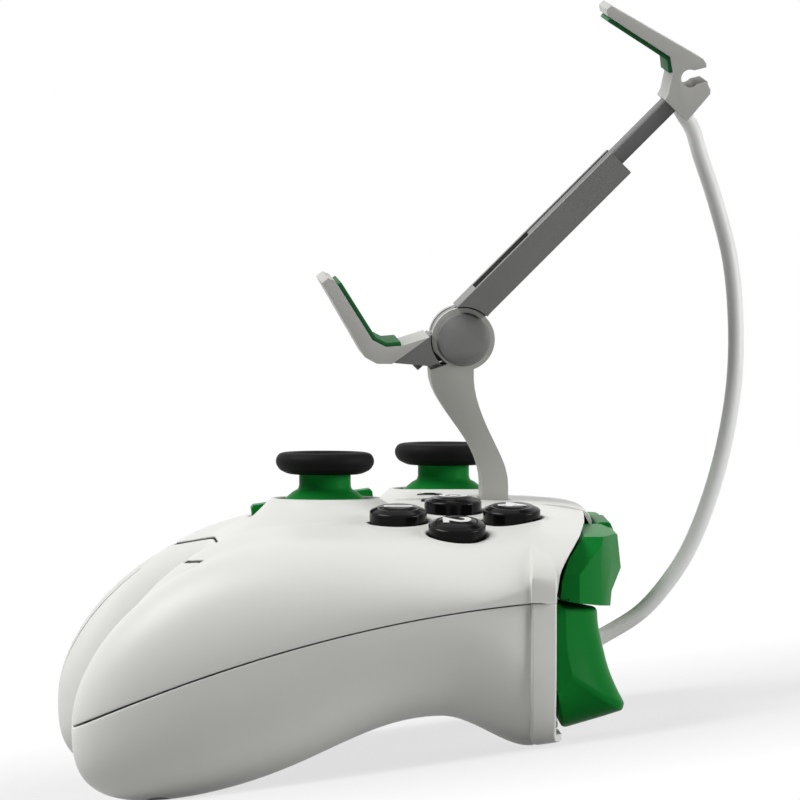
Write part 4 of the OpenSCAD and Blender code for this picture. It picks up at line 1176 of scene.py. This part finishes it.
class CONTROLLER_OT_shells(bpy.types.Operator):
    """Makes the top and bottom shells with their wells, collars, rims and the lip at the rear edge"""

    bl_idname = "controller.shells"
    bl_label = "Shells"

    def execute(self, context):
        piece_of("top_shell", self.top(), "shell", 40)
        piece_of("bottom_shell", self.bottom(), "shell", 40)
        # Painted shade: a black strip in the front gap, riding with the bottom shell.
        gap_shade = shown("gap_shade_strip", gap_shade_strip(), "rubber")
        riding(gap_shade, "bottom_shell")
        return {"FINISHED"}

    def top(self):
        cutters = [prism(circle(r + ROUND_WELL), where, *ROUND_CUT) for r, where in round_wells()]
        cutters.append(prism(cross(DPAD_GAP + ROUND_WELL), dpad_frame(), *SLOT_CUT))
        cutters.append(prism(slot_outline(ARM_GAP + ROUND_WELL), arm_frame(), *SLOT_CUT))
        cutters.append(block(*BRIDGE_SLOT))
        for at in (RIGHT_STICK, LEFT_STICK):
            cutters.append(prism(circle(COLLAR_HOLE + STICK_WELL) + at, UNMOVED, *STICK_CUT))
        islands = [cut(plain_shell(1), cutters), lip_band(1)]
        for r, where in round_wells():
            islands.append(well_rim(lambda grow: circle(r + grow), where))
        islands.append(well_rim(lambda grow: cross(DPAD_GAP + grow), dpad_frame()))
        islands.append(well_rim(lambda grow: slot_outline(ARM_GAP + grow), arm_frame()))
        islands += [collar(at) for at in (RIGHT_STICK, LEFT_STICK)]
        return joined(islands)

    def bottom(self):
        screw_frames = [Matrix.Translation(at) for at in screw_places()]
        cutters = [prism(circle(sizes().cable_diameter / 2 + BOOT_GAP), outlet_frame(), *OUTLET_CUT)]
        cutters += [prism(circle(HEAD_BORE), where, *HEAD_CUT) for where in screw_frames]
        cutters += [trigger_bay(side, BAY_FRONT) for side in (-1, 1)]
        lip = cut(lip_band(-1), [trigger_bay(side, LIP_BAY_FRONT) for side in (-1, 1)])
        pillars = [screw_pillar(where) for where in screw_frames]
        ribs = trigger_ribs(-1) + trigger_ribs(1)
        return joined([cut(plain_shell(-1), cutters), lip, *pillars, *ribs])


# Thumbsticks

CAP_THICK, CAP_SEAT, STICK_HEIGHT = 4.4, 0.02, 16.6
COLUMN_D, SKIRT_D, SKIRT_WALL, SKIRT_LOW = 10.3, 21.6, 1.2, 1.4
BORE_R, BORE_TOP = 2.2, 10.2


def cap_profile():
    """The cap from its underside round the rim to the dish."""
    r, t = sizes().cap_diameter / 2, CAP_THICK
    line = [
        (0, 0), (r - 2.6, 0), (r - 0.7, 0.9), (r, 2.1), (r, 3.1), (r - 0.6, 4.1),
        (r - 1.7, t), (r - 2.8, t - 0.1), (r - 4.2, t - 0.7), (0, t - 1.2),
    ]
    return rounded_profile(line, [0, 0.8, 1.2, 0.7, 0.7, 0.8, 0.8, 0.9, 2.0, 0], 6)


def column_profile(top):
    """The column and its round skirt, from the lever's bore over the inside and the outside to the axis."""
    r, inner, column = SKIRT_D / 2, SKIRT_D / 2 - SKIRT_WALL, COLUMN_D / 2
    line = [(0.0, BORE_TOP), (BORE_R, BORE_TOP)]
    for z in np.linspace(math.sqrt(inner**2 - BORE_R**2), SKIRT_LOW, 12):
        line.append((math.sqrt(inner**2 - z**2), z))
    meet = math.sqrt(r**2 - (column + 0.7) ** 2)
    for z in np.linspace(SKIRT_LOW, meet - 0.25, 18):
        line.append((math.sqrt(r**2 - z**2), z))
    neck = [(column + 0.32, meet + 0.12), (column + 0.1, meet + 0.5), (column, meet + 1.0)]
    return [*line, *neck, (column, top), (0.0, top)]


class CONTROLLER_OT_sticks(bpy.types.Operator):
    """Makes both thumbsticks: rubber caps on green columns, over the pivots inside"""

    bl_idname = "controller.sticks"
    bl_label = "Thumbsticks"

    def execute(self, context):
        bottom = STICK_HEIGHT - CAP_THICK
        for side, at in (("left", LEFT_STICK), ("right", RIGHT_STICK)):
            here = Matrix.Translation(stick_pivot(at))
            cap = lathe(cap_profile(), here @ Matrix.Translation((0, 0, bottom)), 96)
            piece_of(side + "_stick_cap", cap, "rubber", 50)
            piece_of(side + "_stick_column", lathe(column_profile(bottom + CAP_SEAT), here, 96), "green", 40)
            dress("module", side + "_stick_module")
            dress("yoke", side + "_stick_yoke", side + "_stick_lever")
        return {"FINISHED"}


# Buttons and direction pad

BUTTON_HEIGHT, STEM_END, STEM_R = 3.0, -7.0, 2.5
SEAT, SEAT_AIR, FLANGE_OUT, FLANGE_DOWN = 1.6, 0.05, 1.3, 1.2
CENTRE_HEIGHT, CENTRE_STEM_END = 0.6, -5
NUMBERS = {"button_front": "1", "button_right": "2", "button_left": "3", "button_rear": "4"}
NUMBER_HEIGHT, NUMBER_BOLD, NUMBER_LIFT = 7.4, 0.28, 0.02
DPAD_ROUND = 0.35


def button_profile(d, proud, stem):
    """A button from its stem round the flange that keeps it in, up its wall and over the dome."""
    r, flange = d / 2, d / 2 + FLANGE_OUT
    under, seat = -SEAT - FLANGE_DOWN, -SEAT - SEAT_AIR
    line = [
        (0, stem), (STEM_R, stem), (STEM_R, under), (flange, under), (flange, seat), (r, seat),
        (r, proud * 0.62), (r - 0.25, proud * 0.72), (r - 1.5, proud * 0.9),
        (r - 1.8, proud * 0.88), (r / 2, proud * 0.98), (0, proud),
    ]
    return rounded_profile(line, [0, 0.2, 0.2, 0.2, 0.2, 0.1, 0.35, 0.3, 0.2, 0.2, 1.2, 0], 5)


def numeral_mesh(sign, where):
    """A plain number laid just over a button's dome."""
    text = bpy.data.curves.new("number", "FONT")
    text.body, text.size = sign, NUMBER_HEIGHT
    text.align_x, text.align_y = "CENTER", "CENTER"
    text.offset = NUMBER_BOLD
    made = baked(linked("number", text))
    xs = [v.co.x for v in made.vertices]
    ys = [v.co.y for v in made.vertices]
    middle = Vector(((min(xs) + max(xs)) / 2, (min(ys) + max(ys)) / 2, 0))
    for v in made.vertices:
        v.co -= middle
        v.co.z = BUTTON_HEIGHT + NUMBER_LIFT
    made.transform(where)
    return made


class CONTROLLER_OT_buttons(bpy.types.Operator):
    """Makes the four numbered face buttons and the three buttons in the middle"""

    bl_idname = "controller.buttons"
    bl_label = "Buttons"

    def execute(self, context):
        d = sizes().button_diameter
        for node, where in button_frames().items():
            piece_of(node, lathe(button_profile(d, BUTTON_HEIGHT, STEM_END), where, 80), "black", 50)
            sign = shown(node + "_number", numeral_mesh(NUMBERS[node], where), "numeral")
            riding(sign, node)
        small = button_profile(SMALL_D, CENTRE_HEIGHT, CENTRE_STEM_END)
        for node, at in SMALL_AT.items():
            piece_of(node, lathe(small, on_face(at), 56), "black", 50)
        home = button_profile(HOME_D, CENTRE_HEIGHT, CENTRE_STEM_END)
        piece_of("home_button", lathe(home, on_face(HOME_AT), 80), "shell", 50)
        return {"FINISHED"}


class CONTROLLER_OT_direction_pad(bpy.types.Operator):
    """Makes the direction pad with rounded edges, over the rocker inside"""

    bl_idname = "controller.direction_pad"
    bl_label = "Direction pad"

    def execute(self, context):
        piece_of("dpad", rounded_copy("dpad", DPAD_ROUND), "green", 40, UNMOVED)
        dress("yoke", "dpad_rocker")
        return {"FINISHED"}


# Bumpers and triggers

BUMPER_ROUND = 0.7

# A trigger's cut through its middle, as (Y, Z) points, and the rounding of each corner
BLADE = [
    (40.7, 42.4), (49.4, 40.9), (49.6, 37.4), (50.3, 34.3), (51.5, 29.3), (53.1, 25.3), (54.9, 21.9),
    (54.5, 20.5), (50.1, 19.1), (43.1, 17.1), (42.4, 17.3), (40.7, 20.5),
]
BLADE_SOFT = [0.5, 0.9, 3.0, 3.0, 3.0, 2.5, 0.5, 0.5, 3.0, 0.4, 0.4, 0.6]
BLADE_EDGE, BLADE_CROWN, BLADE_STATIONS = 0.24, 2.6, 49
BLADE_ROUND, ROUND_BELOW, ROUND_OVER = 7.0, 34, 14
HUB_R, HUB_BORE, HUB_INSET = 2.7, 1.25, 0.6
HUB_WEB = np.array([(35.4, 38.2), (41.5, 34), (41.5, 42.1), (36, 42.3)])


class CONTROLLER_OT_bumpers(bpy.types.Operator):
    """Makes both bumpers and the bridge between them"""

    bl_idname = "controller.bumpers"
    bl_label = "Bumpers"

    def execute(self, context):
        for node in ("left_bumper", "right_bumper", "bumper_bridge"):
            piece_of(node, rounded_copy(node, BUMPER_ROUND, 4), "green", 30, UNMOVED)
        return {"FINISHED"}


class CONTROLLER_OT_triggers(bpy.types.Operator):
    """Makes both triggers: crowned blades whose lower corners round up"""

    bl_idname = "controller.triggers"
    bl_label = "Triggers"

    def execute(self, context):
        for node, side in (("left_trigger", -1), ("right_trigger", 1)):
            piece_of(node, joined([self.blade(side), self.hub(side)]), "green", 18)
        return {"FINISHED"}

    def blade(self, side):
        """The blade, drawn in towards its ends."""
        line = rounded_profile(BLADE, BLADE_SOFT, 6, closed=True)
        half = TRIGGER_W / 2
        rows = []
        for t in np.linspace(-1, 1, BLADE_STATIONS):
            x = half * math.copysign(math.sin(math.pi / 2 * abs(t)), t)
            near = abs(x) / half
            fade = mix(BLADE_EDGE, 1, 1 - near**BLADE_CROWN)
            lift = BLADE_ROUND * near**3 * np.clip((ROUND_BELOW - line[:, 1]) / ROUND_OVER, 0, 1)
            y = mix(BLADE[0][0], line[:, 0], fade)
            rows.append(np.column_stack([np.full(len(line), side * TRIGGER_X + x), y, line[:, 1] + lift]))
        return solid(rows)

    def hub(self, side):
        """The sleeve on the trigger's pin and the web that joins it to the blade."""
        turn = Matrix.Translation((side * TRIGGER_X, *TRIGGER_PIN)) @ Matrix.Rotation(math.pi / 2, 4, "Y")
        half = TRIGGER_W / 2 - HUB_INSET
        ring = [(HUB_BORE, -half), (HUB_R, -half), (HUB_R, half), (HUB_BORE, half), (HUB_BORE, -half)]
        across = Matrix(((0, 0, 1, side * TRIGGER_X), (1, 0, 0, 0), (0, 1, 0, 0), (0, 0, 0, 1)))
        return joined([lathe(ring, turn, 40), prism(HUB_WEB, across, -half, half)])


# Arm and clamp

ARM_ROUND, HINGE_CAP_ROUND = 0.7, 0.4

# Each piece of the clamp, its finish and the rounding of its edges
CLAMP_PIECES = (
    ("bracket", "bracket", 0.45),
    ("rail", "rail", 0.4),
    ("lower_jaw", "arm", 0.5),
    ("upper_jaw", "arm", 0.5),
    ("lower_jaw_pad", "pad", 0.25),
    ("upper_jaw_pad", "pad", 0.25),
)


class CONTROLLER_OT_arm(bpy.types.Operator):
    """Makes the curved arm and its hinge caps, and finishes the pins of the hinge and the triggers"""

    bl_idname = "controller.arm"
    bl_label = "Arm"

    def execute(self, context):
        piece_of("arm", rounded_copy("arm", ARM_ROUND, 4), "arm", 30, UNMOVED)
        piece_of("hinge_caps", rounded_copy("hinge_caps", HINGE_CAP_ROUND, 4, 60), "bracket", 40, UNMOVED)
        dress("steel", "hinge_pin", "trigger_pins")
        return {"FINISHED"}


class CONTROLLER_OT_clamp(bpy.types.Operator):
    """Makes the bracket, the rail, both jaws and their rubber pads"""

    bl_idname = "controller.clamp"
    bl_label = "Clamp"

    def execute(self, context):
        for node, look, width in CLAMP_PIECES:
            piece_of(node, rounded_copy(node, width), look, 30, UNMOVED)
        return {"FINISHED"}


# Fasteners and insides

BUMPER_PIN_X, BUMPER_PIN_Y, BUMPER_PIN_Z = 21.0, 40.5, 45.95
ARM_SCREW_Z = 50.0
RECESS_LONG, RECESS_SHORT = 0.62, 0.15


def fastener_nodes():
    """Geometry nodes: a cross-recessed screw at every point, shank up."""
    tree = bpy.data.node_groups.new("Screws", "GeometryNodeTree")
    tree.is_modifier = True
    face = tree.interface
    face.new_socket("Points", in_out="INPUT", socket_type="NodeSocketGeometry")
    for name in ("Shank Diameter", "Shank Length", "Head Diameter", "Head Height"):
        face.new_socket(name, in_out="INPUT", socket_type="NodeSocketFloat")
    face.new_socket("Material", in_out="INPUT", socket_type="NodeSocketMaterial")
    face.new_socket("Screws", in_out="OUTPUT", socket_type="NodeSocketGeometry")
    nodes, links = tree.nodes, tree.links
    given = nodes.new("NodeGroupInput").outputs
    made = nodes.new("NodeGroupOutput")

    def times(value, share):
        product = nodes.new("ShaderNodeMath")
        product.operation = "MULTIPLY"
        product.inputs[1].default_value = share
        links.new(value, product.inputs[0])
        return product.outputs[0]

    def lifted(shape, height):
        move = nodes.new("GeometryNodeTransform")
        place = nodes.new("ShaderNodeCombineXYZ")
        links.new(height, place.inputs["Z"])
        links.new(shape, move.inputs["Geometry"])
        links.new(place.outputs[0], move.inputs["Translation"])
        return move.outputs[0]

    def rod(diameter, height, sides):
        cylinder = nodes.new("GeometryNodeMeshCylinder")
        cylinder.inputs["Vertices"].default_value = sides
        links.new(times(given[diameter], 0.5), cylinder.inputs["Radius"])
        links.new(given[height], cylinder.inputs["Depth"])
        return cylinder.outputs["Mesh"]

    shank = lifted(rod("Shank Diameter", "Shank Length", 28), times(given["Shank Length"], 0.5))
    head = lifted(rod("Head Diameter", "Head Height", 40), times(given["Head Height"], -0.5))
    recess = nodes.new("GeometryNodeJoinGeometry")
    for long, short in ((0, 1), (1, 0)):
        bar = nodes.new("GeometryNodeMeshCube")
        extent = nodes.new("ShaderNodeCombineXYZ")
        for axis, share in ((long, RECESS_LONG), (short, RECESS_SHORT)):
            links.new(times(given["Head Diameter"], share), extent.inputs[axis])
        links.new(given["Head Height"], extent.inputs[2])
        links.new(extent.outputs[0], bar.inputs["Size"])
        links.new(lifted(bar.outputs["Mesh"], times(given["Head Height"], -1.0)), recess.inputs[0])
    cross_cut = nodes.new("GeometryNodeMeshBoolean")
    cross_cut.operation = "DIFFERENCE"
    links.new(head, cross_cut.inputs["Mesh 1"])
    links.new(recess.outputs[0], cross_cut.inputs["Mesh 2"])
    screw = nodes.new("GeometryNodeJoinGeometry")
    links.new(shank, screw.inputs[0])
    links.new(cross_cut.outputs["Mesh"], screw.inputs[0])
    repeat = nodes.new("GeometryNodeInstanceOnPoints")
    links.new(given["Points"], repeat.inputs["Points"])
    links.new(screw.outputs[0], repeat.inputs["Instance"])
    real = nodes.new("GeometryNodeRealizeInstances")
    links.new(repeat.outputs[0], real.inputs[0])
    coat = nodes.new("GeometryNodeSetMaterial")
    links.new(real.outputs[0], coat.inputs["Geometry"])
    links.new(given["Material"], coat.inputs["Material"])
    links.new(coat.outputs[0], made.inputs["Screws"])
    return tree


def screws(tree, node, places, shank, length, head, height):
    """One piece with a screw at every place; diameters and lengths in millimetres."""
    points = bpy.data.meshes.new(node)
    points.from_pydata([tuple(p) for p in places], [], [])
    holder = linked(node + "_points", points)
    repeat = holder.modifiers.new("screws", "NODES")
    repeat.node_group = tree
    values = {
        "Shank Diameter": shank,
        "Shank Length": length,
        "Head Diameter": head,
        "Head Height": height,
        "Material": finish("steel"),
    }
    for item in tree.interface.items_tree:
        if item.in_out == "INPUT" and item.name in values:
            repeat[item.identifier] = values[item.name]
    return piece_of(node, baked(holder), "steel", 30)


class CONTROLLER_OT_fasteners(bpy.types.Operator):
    """Sets the screws of the shells and the arm and the pins of the bumpers, and finishes the other screws"""

    bl_idname = "controller.fasteners"
    bl_label = "Fasteners"

    def execute(self, context):
        tree = fastener_nodes()
        pins = [(side * BUMPER_PIN_X, BUMPER_PIN_Y, BUMPER_PIN_Z) for side in (-1, 1)]
        arm = [(0, ARM_Y, ARM_SCREW_Z)]
        screws(tree, "shell_screws", screw_places(), shank=2.0, length=HEAD_DROP + 6, head=4.4, height=1.6)
        screws(tree, "bumper_pins", pins, shank=2.0, length=10.8, head=3.6, height=0.8)
        screws(tree, "arm_screw", arm, shank=2.8, length=9.0, head=5.2, height=2.2)
        dress("steel", "board_screws")
        dress("module", "jaw_screws")
        return {"FINISHED"}


class CONTROLLER_OT_insides(bpy.types.Operator):
    """Finishes the board and the button membrane inside the body"""

    bl_idname = "controller.insides"
    bl_label = "Insides"

    def execute(self, context):
        dress("board", "main_board")
        dress("membrane", "button_membrane")
        return {"FINISHED"}


# Panel and registration

STEPS = (
    CONTROLLER_OT_stage,
    CONTROLLER_OT_cable,
    CONTROLLER_OT_shells,
    CONTROLLER_OT_sticks,
    CONTROLLER_OT_buttons,
    CONTROLLER_OT_direction_pad,
    CONTROLLER_OT_bumpers,
    CONTROLLER_OT_triggers,
    CONTROLLER_OT_arm,
    CONTROLLER_OT_clamp,
    CONTROLLER_OT_fasteners,
    CONTROLLER_OT_insides,
)


class CONTROLLER_PT_sidebar(bpy.types.Panel):
    """Lists the sizes, the colours and the steps"""

    bl_idname = "CONTROLLER_PT_sidebar"
    bl_label = "Game controller"
    bl_space_type = "VIEW_3D"
    bl_region_type = "UI"
    bl_category = "Controller"

    def draw(self, context):
        for group in (context.scene.controller_sizes, context.scene.controller_colours):
            box = self.layout.box()
            for name in group.__annotations__:
                box.prop(group, name)
        for step in STEPS:
            self.layout.operator(step.bl_idname)


CLASSES = (ControllerSizes, ControllerColours, *STEPS, CONTROLLER_PT_sidebar)


def register():
    for kind in CLASSES:
        bpy.utils.register_class(kind)
    bpy.types.Scene.controller_sizes = PointerProperty(type=ControllerSizes)
    bpy.types.Scene.controller_colours = PointerProperty(type=ControllerColours)


def unregister():
    del bpy.types.Scene.controller_colours
    del bpy.types.Scene.controller_sizes
    for kind in reversed(CLASSES):
        bpy.utils.unregister_class(kind)


def main():
    register()
    for step in STEPS:
        group, name = step.bl_idname.split(".")
        getattr(getattr(bpy.ops, group), name)()


if __name__ == "__main__":
    main()
